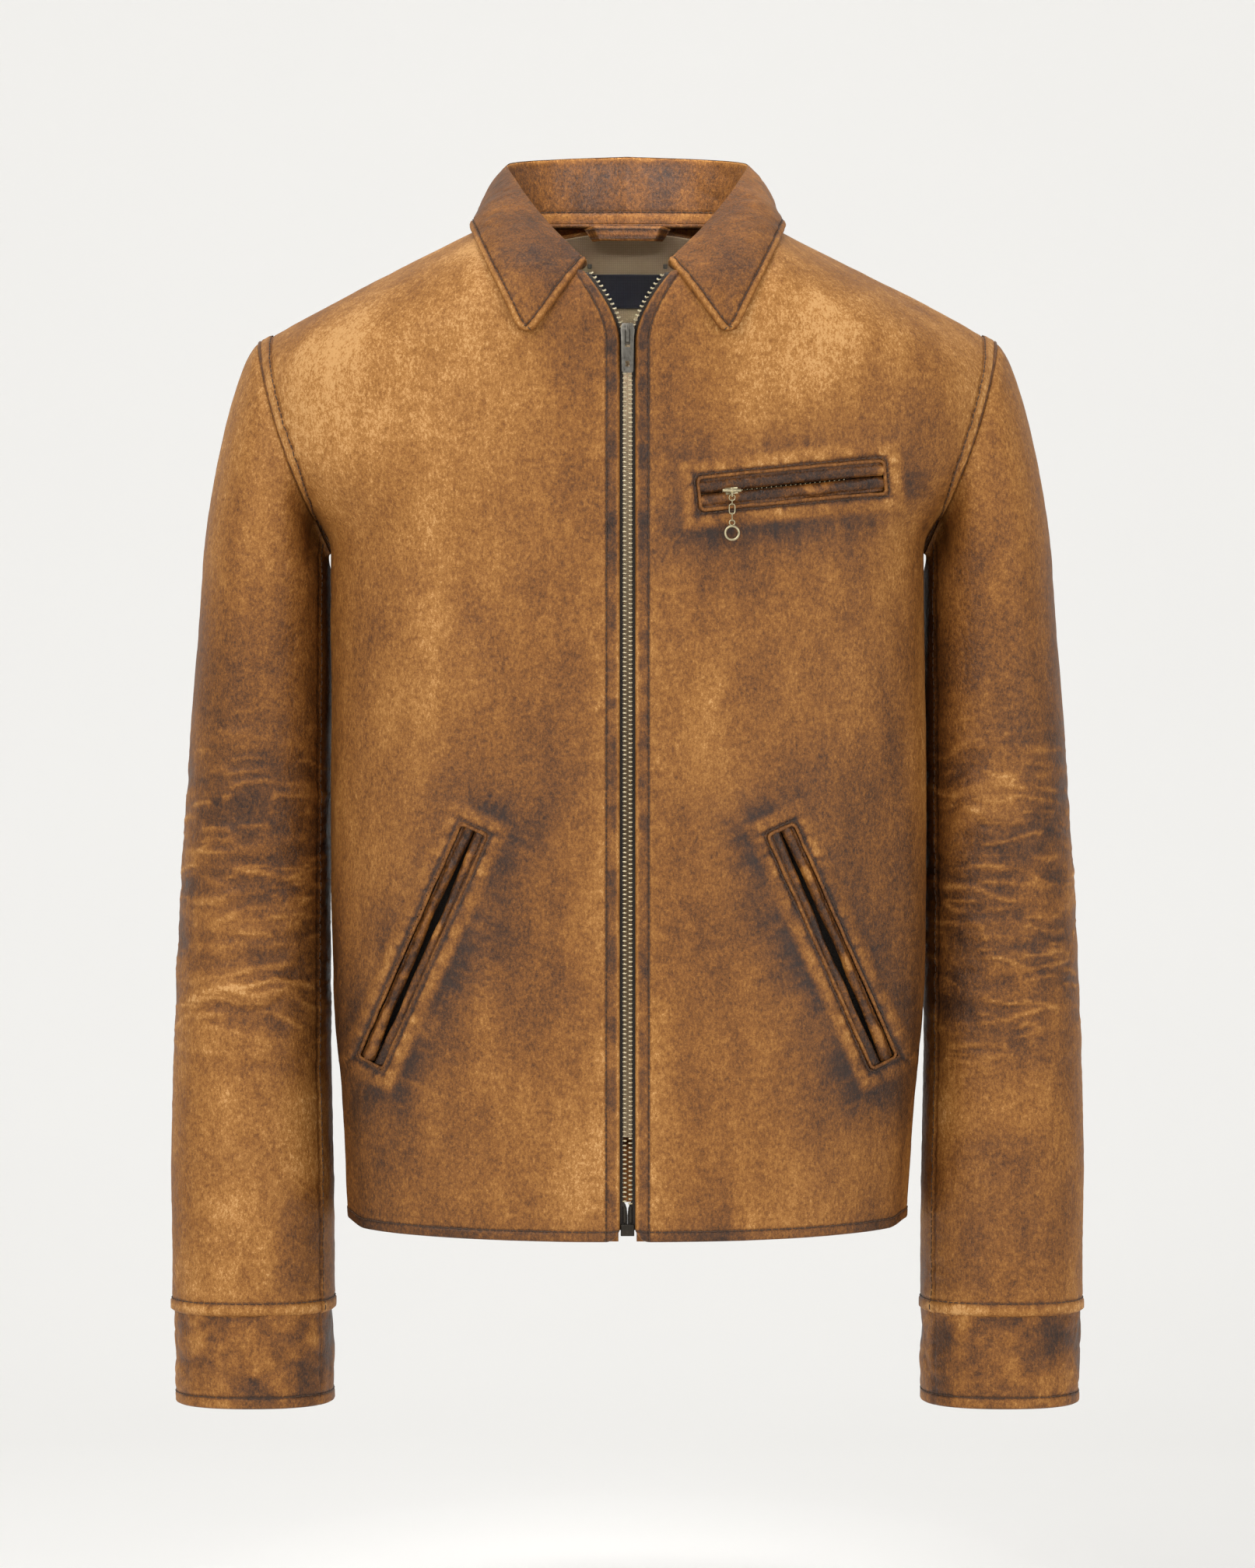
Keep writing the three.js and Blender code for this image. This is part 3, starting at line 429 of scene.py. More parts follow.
def gathered(parts):
    """Several (points, quads) joined into one."""
    points, quads, base = [], [], 0
    for p, q in parts:
        p = p.reshape(-1, 3)
        points.append(p)
        quads.append(q + base)
        base += len(p)
    return np.concatenate(points), np.concatenate(quads)


def iso_line(grid, normals, field, value):
    """Points and normals along each row where a field first reaches a value."""
    points, ups = [], []
    for row in range(grid.shape[0]):
        f = field[row]
        at = np.nonzero((f[:-1] - value) * (f[1:] - value) <= 0)[0]
        if len(at):
            i = at[0]
            t = 0 if f[i + 1] == f[i] else (value - f[i]) / (f[i + 1] - f[i])
            points.append(lerp(grid[row, i], grid[row, i + 1], t))
            ups.append(lerp(normals[row, i], normals[row, i + 1], t))
    return np.array(points), np.array(ups)


def swapped(*arrays):
    return [np.swapaxes(a, 0, 1) for a in arrays]


def stitch_parts(points, ups, pitch=4.2, length=3.3, radius=0.33, lift=0.12):
    """Short arched rods of thread along a line on a skin."""
    if len(points) < 3:
        return []
    distance = lengths_along(points)
    count = int(distance[-1] / pitch)
    parts = []
    offsets = np.array([-0.5, -0.36, 0, 0.36, 0.5]) * length
    sink = np.array([-0.45, 0.6, 1, 0.6, -0.45]) * radius * 0.8
    for k in range(count):
        at = (k + 0.5) * pitch + offsets
        path = np.stack([np.interp(at, distance, points[:, a]) for a in range(3)], -1)
        up = unit(np.stack([np.interp(at, distance, ups[:, a]) for a in range(3)], -1))
        path = path + up * (lift + sink)[:, None]
        parts.append(tube(path, radius * np.array([0.5, 0.95, 1, 0.95, 0.5]), 5, normal=up))
    return parts


def sewn(grid, normals, field, value, across_rows=False, **thread):
    """Stitches along the line where a field reaches a value, which crosses the rows or the columns."""
    arrays = (grid, normals, field) if across_rows else swapped(grid, normals, field)
    return stitch_parts(*iso_line(*arrays, value), **thread)


def stitching(name, parts, body="jacket_body"):
    return piece(name, *gathered(parts), THREAD, body, (), "leather")


# ---------- Materials ----------


def linear(hex_colour):
    c = np.array([int(hex_colour[i : i + 2], 16) / 255 for i in (0, 2, 4)])
    return (*np.where(c <= 0.04045, c / 12.92, ((c + 0.055) / 1.055) ** 2.4), 1)


class Nodes:
    """A material's node tree, with short calls for the nodes used here."""

    def __init__(self, name):
        self.material = bpy.data.materials.new(name)
        self.material.use_nodes = True
        self.tree = self.material.node_tree
        self.shader = self.tree.nodes["Principled BSDF"]

    def add(self, kind, inputs=(), **settings):
        node = self.tree.nodes.new(kind)
        for key, value in settings.items():
            setattr(node, key, value)
        for key, value in dict(inputs).items():
            self.set(node.inputs[key], value)
        return node

    def set(self, socket, value):
        if isinstance(value, bpy.types.NodeSocket):
            self.tree.links.new(value, socket)
        else:
            socket.default_value = value

    def attribute(self, name, output="Fac"):
        return self.add("ShaderNodeAttribute", attribute_name=name).outputs[output]

    def rest(self):
        return self.attribute("rest", "Vector")

    def scaled(self, vector, factors):
        node = self.add("ShaderNodeVectorMath", {0: vector}, operation="MULTIPLY")
        node.inputs[1].default_value = factors
        return node.outputs[0]

    def noise(self, vector, scale, detail, rough):
        node = self.add("ShaderNodeTexNoise",
                        {"Vector": vector, "Scale": scale, "Detail": detail, "Roughness": rough},
                        noise_type="FBM")
        return node.outputs["Fac"]

    def voronoi(self, vector, scale, feature="F1"):
        return self.add("ShaderNodeTexVoronoi", {"Vector": vector, "Scale": scale},
                        feature=feature).outputs["Distance"]

    def math(self, operation, a, b=0.0, clamp=False):
        return self.add("ShaderNodeMath", {0: a, 1: b}, operation=operation, use_clamp=clamp).outputs[0]

    def weighted(self, terms, constant=0.0):
        total = None
        for value, factor in terms:
            part = self.math("MULTIPLY", value, factor)
            total = self.math("ADD", part, constant if total is None else total)
        return total

    def ramp(self, value, stops):
        node = self.add("ShaderNodeValToRGB", {"Fac": value})
        elements = node.color_ramp.elements
        while len(elements) < len(stops):
            elements.new(0.5)
        for element, (place_at, colour) in zip(elements, stops):
            element.position = place_at
            element.color = colour
        return node.outputs["Color"]

    def mix(self, factor, a, b):
        node = self.add("ShaderNodeMix", data_type="RGBA")
        self.set(node.inputs[0], factor)
        self.set(node.inputs[6], a)
        self.set(node.inputs[7], b)
        return node.outputs[2]

    def bump(self, heights, strength, distance):
        normal = None
        for height, amount in heights:
            node = self.add("ShaderNodeBump",
                            {"Height": height, "Strength": strength, "Distance": distance * amount})
            if normal is not None:
                self.set(node.inputs["Normal"], normal)
            normal = node.outputs["Normal"]
        self.set(self.shader.inputs["Normal"], normal)

    def principled(self, **values):
        for key, value in values.items():
            self.set(self.shader.inputs[key.replace("_", " ")], value)
        return self.material


def leather_material(name, shade=0.0, gloss=0.0):
    """Waxed tan leather: mottled, darkened by burnish and painted shade, lightened by rubbed wear and
    painted light.
    """
    m = Nodes(name)
    rest = m.rest()
    upright = m.scaled(rest, (1, 1, 0.45))
    broad = m.noise(upright, 14, 3, 0.55)
    blotch = m.noise(upright, 48, 4, 0.6)
    fine = m.noise(rest, 210, 4, 0.7)
    nap = m.noise(m.scaled(rest, (1, 1, 0.6)), 700, 3, 0.65)
    speck = m.noise(rest, 1500, 2, 0.6)
    burn_and_painted_shade = m.attribute("burn_and_painted_shade")
    rub_and_painted_light = m.attribute("rub_and_painted_light")
    # The height term is partly rubbed wear and partly painted shade: raised relief comes out lighter, its
    # hollows darker.
    tone = m.weighted([(broad, 0.6), (blotch, 0.5), (fine, 0.55), (nap, 0.85), (speck, 0.6), (rub_and_painted_light, 0.3),
                       (burn_and_painted_shade, -0.5), (m.attribute("height"), 0.035)], shade - 1.02)
    shades = ("22140C", "3B2311", "543214", "6D4219", "845321", "97652D", "AE7A40", "C5945B")
    colour = m.ramp(tone,
                    [(0.15 * k if k < 7 else 1.0, linear(shade_hex)) for k, shade_hex in enumerate(shades)])
    grey = m.math("MULTIPLY", burn_and_painted_shade, m.noise(rest, 60, 4, 0.65))
    colour = m.mix(m.math("MULTIPLY", grey, 0.55, True), colour, linear("443229"))
    pores = m.voronoi(rest, 1300)
    pebble = m.voronoi(rest, 620, "SMOOTH_F1")
    rough = m.weighted([(blotch, 0.25), (rub_and_painted_light, 0.1), (burn_and_painted_shade, -0.2), (nap, 0.2)], 0.35 - gloss)
    m.bump([(pebble, 0.5), (pores, 0.3), (nap, 1.1), (fine, 1.9)], 0.65, 0.0005)
    return m.principled(Base_Color=colour, Roughness=rough, Specular_IOR_Level=0.27, Coat_Weight=0.03,
                        Coat_Roughness=0.35)


def cloth_material(name, dark, light, threads=1500.0, rough=0.85):
    """A plain weave, with threads crossing over and under along x and z."""
    m = Nodes(name)
    rest = m.rest()
    wave = {"Vector": rest, "Scale": threads / 6.28, "Distortion": 0.6, "Detail": 1.0}
    warp, weft = (m.add("ShaderNodeTexWave", wave, wave_type="BANDS", bands_direction=way).outputs["Fac"]
                  for way in "XZ")
    weave = m.math("MULTIPLY", warp, weft)
    mottle = m.noise(rest, 45, 4, 0.6)
    tone = m.weighted([(mottle, 0.55), (weave, 0.35), (m.noise(rest, 600, 2, 0.5), 0.25)], -0.05)
    m.bump([(weave, 1.0)], 0.5, 0.0003)
    return m.principled(Base_Color=m.ramp(tone, [(0.15, linear(dark)), (0.85, linear(light))]),
                        Roughness=rough, Sheen_Weight=0.25, Sheen_Roughness=0.5)


def metal_material(name, dull, bright, rough=0.3, tarnish_and_painted_reflection=0.5):
    """Metal whose colour runs in patches from dull to bright: painted reflections that give it contrast,
    and tarnish.
    """
    m = Nodes(name)
    rest = m.rest()
    patches = m.noise(rest, 420, 4, 0.65)
    scratches = m.noise(m.scaled(rest, (1, 1, 0.15)), 3500, 2, 0.5)
    tone = m.weighted([(patches, tarnish_and_painted_reflection), (scratches, 0.25)], 0.4 - tarnish_and_painted_reflection / 2)
    m.bump([(scratches, 0.4), (patches, 1.0)], 0.3, 0.00012)
    roughness = m.weighted([(patches, 0.25), (scratches, 0.1)], rough - 0.12)
    return m.principled(Base_Color=m.ramp(tone, [(0.25, linear(dull)), (0.7, linear(bright))]),
                        Metallic=1.0, Roughness=roughness)


def thread_material():
    m = Nodes("thread")
    twist = m.noise(m.rest(), 2200, 2, 0.5)
    m.bump([(twist, 1.0)], 0.4, 0.0002)
    return m.principled(Base_Color=m.ramp(twist, [(0.3, linear("2F2015")), (0.75, linear("5A3F28"))]),
                        Roughness=0.6)


LEATHER = leather_material("jacket_leather")
COLLAR_LEATHER = leather_material("collar_leather", -0.11)
WELT_LEATHER = leather_material("welt_leather", -0.16, 0.2)
PIPING_LEATHER = leather_material("piping_leather", -0.07)
LINING = cloth_material("lining_cloth", "A28D70", "CDB692")
TAPE = cloth_material("zip_tape_cloth", "17120E", "3A3026", 1800.0)
# Near-black cloth for the pocket bags is painted shade, so that the pocket slits read dark.
SHADE_DARK_BAG_CLOTH = cloth_material("shade_dark_bag_cloth", "1E1914", "332B22")
LABEL = cloth_material("label_cloth", "14161C", "2C3040", 2200.0)
BRASS = metal_material("antique_brass", "3F3624", "D3C6A0", 0.27)
TOOTH_BRASS = metal_material("tooth_brass", "564A34", "E6D9B6", 0.24)
GUNMETAL = metal_material("gunmetal", "24211E", "8F8A80", 0.27, 0.4)
DARK_METAL = metal_material("dark_metal", "141211", "454039", 0.38, 0.4)
THREAD = thread_material()

# ---------- Pockets ----------


class Pocket:
    """A slanted welt pocket, with its own axes: a across it and b along it."""

    def __init__(self, x, z, length, width, slit, lean, sign, shade):
        self.x, self.z, self.length, self.width, self.slit, self.sign = x, z, length, width, slit, sign
        self.shade = shade  # the side, across the pocket, that is burnished most
        self.opening = 0.75 * slit if length > 120 else 0.5  # how far the lips gape
        self.lean = math.radians(lean)

    def to_local(self, x, z):
        dx, dz = x * self.sign - self.x, z - self.z
        c, s = math.cos(self.lean), math.sin(self.lean)
        return dx * c + dz * s, -dx * s + dz * c

    def to_jacket(self, a, b):
        c, s = math.cos(self.lean), math.sin(self.lean)
        return (self.x + a * c - b * s) * self.sign, self.z + a * s + b * c

    def on_skin(self, a, b, lift=0.0):
        x, z = self.to_jacket(np.asarray(a, float), np.asarray(b, float))
        step = 0.5
        slope_x = (skin_y(x + step, z, False) - skin_y(x - step, z, False)) / (2 * step)
        slope_z = (skin_y(x, z + step, False) - skin_y(x, z - step, False)) / (2 * step)
        normal = unit(xyz(slope_x, -1.0, slope_z))
        return on_body(x, z) + normal * np.asarray(lift)[..., None], normal

    def outside(self, x, z):
        """Distance outside the pocket's rectangle, negative inside it, and the place along it."""
        a, b = self.to_local(x, z)
        return np.maximum(np.abs(a) - self.width / 2, np.abs(b) - self.length / 2), a, b


HAND = {sign: Pocket(124.5, -443, 156, 17, 6, 24.2, sign, -1) for sign in (1, -1)}
CHEST = Pocket(99.6, -164, 113, 19, 4.8, -84, 1, 1)


def snap_to_pocket(pocket, grid, reach):
    """The grid with the points near a pocket's outline moved onto it, and which points lie inside."""
    out, a, b = pocket.outside(grid[..., 0], grid[..., 2])
    beside = np.abs(a) - pocket.width / 2 > np.abs(b) - pocket.length / 2
    near = np.abs(out) < reach
    a = np.where(near & beside, np.sign(a) * pocket.width / 2, a)
    b = np.where(near & ~beside, np.sign(b) * pocket.length / 2, b)
    x, z = pocket.to_jacket(a, b)
    moved = on_body(x, z)
    return np.where(near[..., None], moved, grid), out < reach


def pocket_effect(pocket, x, z):
    """The height, burnish and wear that a pocket gives the leather round it."""
    out, a, b = pocket.outside(x, z)
    local = xyz(a, b, 0)
    beside = np.abs(a) - pocket.width / 2 > np.abs(b) - pocket.length / 2
    run = np.where(beside, b, a)
    pucker = noise(xyz(out * 0.2, run, 0), 4.2, 31)
    streak = noise(xyz(out * 0.16, run, 9.0), 3.1, 32)
    fade = np.exp(-np.clip(out - 3, 0, 60) / 5) * ease(out, 1.5, 3)
    height = (0.65 * pucker * fade - 0.7 * hump(out, 2.7, 0.8) + 0.7 * hump(out, 6.5, 4) - 1.2
              * ease(out, 1.0, -1.0))
    patch = 0.5 + 0.5 * noise(local, 22, 33)
    inner = ease(a * pocket.shade, -6, 6)
    burn_and_painted_shade = (np.exp(-np.clip(out - 14, 0, 400) / 14) * ease(out, 9, 14) * (0.25 + 0.75 * patch)
            * (0.35 + 0.65 * inner) * (1 + 0.7 * streak))
    burn_and_painted_shade = burn_and_painted_shade * 0.85 + 0.7 * hump(out, 2.5, 1.1) + 0.18 * np.exp(-np.clip(out, 0, 400) / 30)
    rub_and_painted_light = (hump(out, 5, 5) * ease(out, 2, 4) * (0.25 + 0.75 * streak + 0.35 * noise(local, 9, 35)) - 0.5
           * np.clip(-pucker, 0, 1) * fade)
    return height, burn_and_painted_shade, rub_and_painted_light


def build_pocket(pocket, name, nodes, seed):
    """The two wrinkled lips of a pocket, the piping frame round them and its stitching."""
    half, reach = pocket.length / 2 - 0.5, pocket.width / 2 - 0.6
    b = np.linspace(-half, half, 190)
    for side, node in ((-1, nodes[0]), (1, nodes[1])):
        taper = np.clip(1 - (np.abs(b) / half) ** 2.5, 0, 1)
        lip = pocket.opening / 2 * taper * (0.75 + 0.35 * noise(xyz(b, 0, side), 22, seed)) + 0.15
        a_edge = side * lip
        rows, ridges = [], []
        for k in np.linspace(0, 1, 18):
            a = lerp(a_edge, side * reach, k)
            p = xyz(a * 0.55, b, side * 9.0)
            crumple = noise(p, 12, seed + 1) + 0.5 * noise(p, 5, seed + 2)
            belly = math.sin(math.pi * min(1, k * 1.1 + 0.1)) ** 0.7
            lift = (-1.5 + 1.3 * belly + 1.25 * crumple * (0.3 + 0.7 * math.sin(math.pi * k)) - 2.2
                    * (1 - k) ** 6)
            rows.append(pocket.on_skin(a, b, lift)[0])
            ridges.append(crumple * belly)
        grid = np.stack(rows)
        under = grid[:1] + (0, 4.0, 0) + (grid[1:2] - grid[:1]) * 0.2
        grid = np.concatenate([under, grid])
        quads = quads_of(*grid.shape[:2])
        quads = outward(grid, quads, np.broadcast_to(np.array([0, -1.0, 0]), grid.shape))
        ridge = np.stack(ridges[:1] + ridges)
        # The lips' marks are painted light: shade in the hollows of their crumples and highlights on the
        # ridges.
        piece(f"{name}_{'upper' if side < 0 else 'lower'}_lip", grid, quads, WELT_LEATHER, "jacket_body",
              [node], "welt_leather",
              marks(0.12 + 0.3 * ease(ridge, 0.1, -0.6), 1.2 * ease(ridge, 0.1, 0.9), ridge))
    build_pocket_frame(pocket, name, seed)


def frame_path(pocket, out, per_side=60):
    """A rectangle with round corners round a pocket, in its own axes."""
    w, l = pocket.width / 2 + out, pocket.length / 2 + out
    radius = 2.6 + 0.5 * out
    a, b = [], []
    for k, (corner_a, corner_b) in enumerate(((w, -l), (w, l), (-w, l), (-w, -l))):
        turn = math.pi / 2 * (k - 1) + np.linspace(0, math.pi / 2, 8)
        centre_a, centre_b = (corner_a - math.copysign(radius, corner_a), corner_b
                              - math.copysign(radius, corner_b))
        a.append(centre_a + radius * np.cos(turn))
        b.append(centre_b + radius * np.sin(turn))
        t = np.linspace(0, 1, per_side if k % 2 == 0 else 10)[1:-1]
        end_a, end_b = a[-1][-1], b[-1][-1]
        a.append(lerp(end_a, -end_a, t) if k % 2 else np.full_like(t, end_a))
        b.append(lerp(end_b, -end_b, t) if k % 2 == 0 else np.full_like(t, end_b))
    return np.concatenate(a), np.concatenate(b)


def build_pocket_frame(pocket, name, seed):
    a, b = frame_path(pocket, 0.2, 90)
    wander = 0.25 * noise(xyz(a, b, 0), 9, seed + 8)
    points, normals = pocket.on_skin(a + wander, b, np.full_like(a, 0.1))
    thickness = 1.0 + 0.16 * noise(xyz(a, b, 0), 5, seed + 9)
    piping = tube(points, thickness, 8, closed=True, normal=normals)
    piece(f"{name}_piping", piping[0], piping[1], PIPING_LEATHER, "jacket_body", (), "leather",
          marks(0.12, 0.3, 0.3))
    a, b = frame_path(pocket, 2.3, 60)
    points, normals = pocket.on_skin(a, b, np.full_like(a, -0.2))
    parts = stitch_parts(np.concatenate([points, points[:1]]), np.concatenate([normals, normals[:1]]), 3.6,
                         2.7, 0.3, 0.1)
    stitching(f"{name}_stitches", parts)


# ---------- Panels of the body ----------

body_stitches = []


def leather_relief(p):
    """The soft unevenness that all the leather has."""
    return 0.9 * rumple(p, 70, 3) + 0.22 * rumple(p, 16, 9, 2) + 0.1 * folds(p, 11, 1.0, 0.3, 21)


def drape(p):
    """The long soft folds of a jacket that hangs from its shoulders."""
    tall = xyz(p[..., 0], p[..., 1], p[..., 2] / 3.2)
    low = ease(p[..., 2], -150, -380)
    return (1.2 + 1.0 * low) * noise(tall, 62, 41) + 0.7 * noise(tall, 30, 43) * (0.4 + low)


def tall_of(p):
    """Points squeezed upright, so that noise on them makes tall patches."""
    return xyz(p[..., 0], p[..., 1], p[..., 2] / 2.4)


def stitched_step(distance, line, rise, groove, width=0.9):
    """The step and the groove that a line of stitching makes."""
    return rise * ease(distance, line + 1, line - 1) - groove * hump(distance, line, width)


def placket_pucker(distance, along, line, seed):
    """Short creases that run away from a line of stitching."""
    rib = noise(xyz(distance * 0.15, 0, along), 3.6, seed)
    return 0.38 * rib * np.exp(-np.abs(distance - line) / 6.5)


def build_front(side, sign):
    columns, rows = steps_along(front_surface, 1.35, 0.7)
    grid = grid_of(front_surface, columns, rows) * (sign, 1, 1)
    inside = np.zeros(grid.shape[:2], bool)
    pockets = [HAND[sign]] + ([CHEST] if sign > 0 else [])
    for pocket in pockets:
        grid, within = snap_to_pocket(pocket, grid, 1.0)
        inside |= within
    normals = outer_normals(grid, (0, -20.0, -330))
    x, z = np.abs(grid[..., 0]), grid[..., 2]
    from_edge, to_side, up, down = distances(grid)
    grid = round_corner(grid, from_edge, up, HEM_RADIUS, True, True)
    above = ease(z, ARMPIT_Z - 4, ARMPIT_Z + 8)
    shoulder = ease(x, NECK_X - 6, NECK_X + 6)
    height = (leather_relief(grid) + drape(grid) * ease(from_edge, 4, 50) * ease(to_side, 0, 25)
              * ease(down, 5, 40))
    height += placket_pucker(from_edge, z, PLACKET, 51) * ease(from_edge, 0, 3)
    height += stitched_step(from_edge, PLACKET, 0.6, 0.55) + stitched_step(up, HEM_STITCH, 0.4, 0.5)
    height += 0.35 * noise(xyz(from_edge, 0, up * 0.2), 6, 55) * np.exp(-np.abs(up - HEM_STITCH) / 6)
    strip = above * ease(to_side, STRIP + 1.2, STRIP - 0.6)
    rib = noise(xyz(to_side * 0.2, 0, z + x), 5, 57) * np.exp(-np.abs(to_side - STRIP) / 6)
    height += 1.3 * strip - above * 0.9 * hump(to_side, STRIP + 0.6, 0.9) + 0.5 * above * rib
    height += shoulder * stitched_step(down, NECK_STITCH, 0.5, 0.55)
    height -= roll(from_edge, 1.6) + roll(up, 1.5) + roll(to_side, 1.8) + roll(down, 1.6)
    bare = noise(xyz(from_edge * 0.6, 40 * sign, z), 8, 61)
    feather = noise(xyz(from_edge * 0.12, 40 * sign, z), 3.2, 62)
    burn_and_painted_shade = (ease(from_edge, PLACKET + 1, PLACKET - 1) * (0.2 + 0.45 * ease(bare, -0.3, 0.6))
            * ease(from_edge, 0.5, 3))
    burn_and_painted_shade += 0.4 * hump(from_edge, PLACKET, 0.9)
    burn_and_painted_shade += (0.35 * ease(up, HEM_STITCH + 1, HEM_STITCH - 2) + 0.25 * np.exp(-up / 14)
             * (0.5 + noise(grid, 25, 64)))
    # A dark line at the armhole strip's stitching, and painted shade along the armhole edge where the
    # sleeve meets the body.
    burn_and_painted_shade += 0.3 * above * hump(to_side, STRIP, 1.3) + 0.2 * above * np.exp(-to_side / 3)
    burn_and_painted_shade += 0.07 * ease(noise(tall_of(grid), 60, 63), 0.0, 0.8) * ease(z, -180, -330)
    # The second term is painted shade: the body's sides go darker below the armholes, next to the sleeves.
    burn_and_painted_shade += (0.04 * ease(z, -215, -330) * ease(z, -470, -400) + 0.12 * ease(x, 120, 180)
             * ease(z, -150, -230))
    burn_and_painted_shade += 0.5 * hump(up, HEM_STITCH, 0.9) + 0.45 * shoulder * hump(down, 6, 0.9)
    chest = ease(z, -270, -90) * ease(x, 15, 100) * (1 - 0.3 * ease(x, 150, 215))
    rub_and_painted_light = (0.52 + 0.12 * noise(grid, 38, 66) + 0.3 * ease(z, -140, -70)) * chest
    rub_and_painted_light += 0.35 * ease(z, -440, -520) * ease(x, 120, 50)
    rub_and_painted_light += 0.5 * hump(from_edge, 1.0, 1.2) + 0.3 * above * hump(to_side, 4, 3)
    rub_and_painted_light += ((0.42 + 0.5 * feather) * np.exp(-np.clip(from_edge - PLACKET - 1, 0, 90) / 7)
            * ease(from_edge, PLACKET, PLACKET + 1.5))
    rub_and_painted_light += (0.5 * ease(noise(tall_of(grid), 42, 65), -0.2, 0.8) + 0.15 * ease(z, -200, -300)
            * ease(z, -460, -380))
    for pocket in pockets:
        lift, dark, light = pocket_effect(pocket, grid[..., 0], z)
        height, burn_and_painted_shade, rub_and_painted_light = height + lift, burn_and_painted_shade + dark, rub_and_painted_light + light
    _, top, fine = leather_skin(f"{side}_front_panel", grid, normals, height, LEATHER, "jacket_body",
                                [f"front_{side}"], burn_and_painted_shade, rub_and_painted_light, holes=inside)
    keep = z[:, 0] < V_TOP_Z - 8
    body_stitches.extend(sewn(top[keep], fine[keep], from_edge[keep], PLACKET, True))
    body_stitches.extend(sewn(top, fine, up, HEM_STITCH))
    over = z[:, -1] > ARMPIT_Z + 2
    body_stitches.extend(sewn(top[over], fine[over], to_side[over], STRIP, True))
    wide = columns > 0.3
    body_stitches.extend(sewn(top[:, wide], fine[:, wide], down[:, wide], NECK_STITCH))


def build_back():
    grid = grid_of(back_surface, *steps_along(back_surface, 3.0, 0.9, -1, 4001))
    normals = outer_normals(grid, (0, 0, -330.0))
    z = grid[..., 2]
    left, right, up, down = distances(grid)
    to_side = np.minimum(left, right)
    above = ease(z, ARMPIT_Z - 4, ARMPIT_Z + 8)
    height = leather_relief(grid) + drape(grid) * ease(to_side, 0, 30) * ease(down, 5, 50)
    height += stitched_step(up, HEM_STITCH, 0.4, 0.5, 1)
    height += above * (1.3 * ease(to_side, STRIP + 1.2, STRIP - 0.6) - 0.9 * hump(to_side, STRIP + 0.6, 1))
    height -= 0.5 * hump(down, NECK_STITCH, 1) + roll(to_side, 1.8) + roll(up, 1.5) + roll(down, 1.6)
    burn_and_painted_shade = (0.35 * np.exp(-up / 12) + 0.45 * above * hump(to_side, STRIP, 1.6) + 0.4
            * ease(noise(grid, 95, 63), 0.15, 0.8))
    burn_and_painted_shade += 0.4 * hump(up, HEM_STITCH, 1.3) + 0.4 * hump(down, 6, 1.3)
    rub_and_painted_light = 0.45 * ease(z, -330, -90) + 0.35 * ease(noise(grid, 60, 65), 0.1, 0.8)
    _, top, fine = leather_skin("back_panel", grid, normals, height, LEATHER, "jacket_body", ["back"], burn_and_painted_shade,
                                rub_and_painted_light)
    for distance, line in ((up, HEM_STITCH), (down, NECK_STITCH)):
        body_stitches.extend(sewn(top, fine, distance, line))
    over = z[:, 0] > ARMPIT_Z + 2
    for distance in (left, right):
        body_stitches.extend(sewn(top[over], fine[over], distance[over], STRIP, True))


def inner_sheet(name, surface, columns, rows, depth, material, nodes, slot, mirror=1):
    """A plain layer of cloth or leather at a depth inside the body."""
    grid = grid_of(surface, columns, rows) * (mirror, 1, 1)
    normals = outer_normals(grid, (0, -10.0, -330))
    inset = depth(grid) if callable(depth) else np.full(grid.shape[:2], depth)
    layer = grid - normals * (inset + 0.35 * rumple(grid, 40, 71))[..., None]
    back = layer - normals * 0.8
    points, quads = closed_layer(layer, back)
    piece(name, points, quads, material, "jacket_body", nodes, slot, marks())


def closed_layer(front, back):
    """A thin closed solid between two grids."""
    rows, columns = front.shape[:2]
    n = rows * columns
    first = quads_of(rows, columns)
    second = first[:, ::-1] + n
    index = np.arange(n).reshape(rows, columns)
    loop = np.concatenate([index[0, :-1], index[:-1, -1], index[-1, :0:-1], index[:0:-1, 0]])
    rim = np.stack([np.roll(loop, -1), loop, loop + n, np.roll(loop, -1) + n], -1)
    quads = np.concatenate([first, second, rim])
    points = np.concatenate([front.reshape(-1, 3), back.reshape(-1, 3)])
    centre = points[quads].mean(axis=1)
    face = np.cross(points[quads[:, 2]] - points[quads[:, 0]], points[quads[:, 3]] - points[quads[:, 1]])
    return points, quads if np.sum(face * (centre - points.mean(0))) > 0 else quads[:, ::-1]


def lining_depth(grid):
    x, z = np.abs(grid[..., 0]), grid[..., 2]
    beside = ease(x, 44, 60) * ease(x, 182, 168)
    between = ease(z, -586, -562) * ease(z, -85, -142)
    return 4.2 + 16 * beside * between


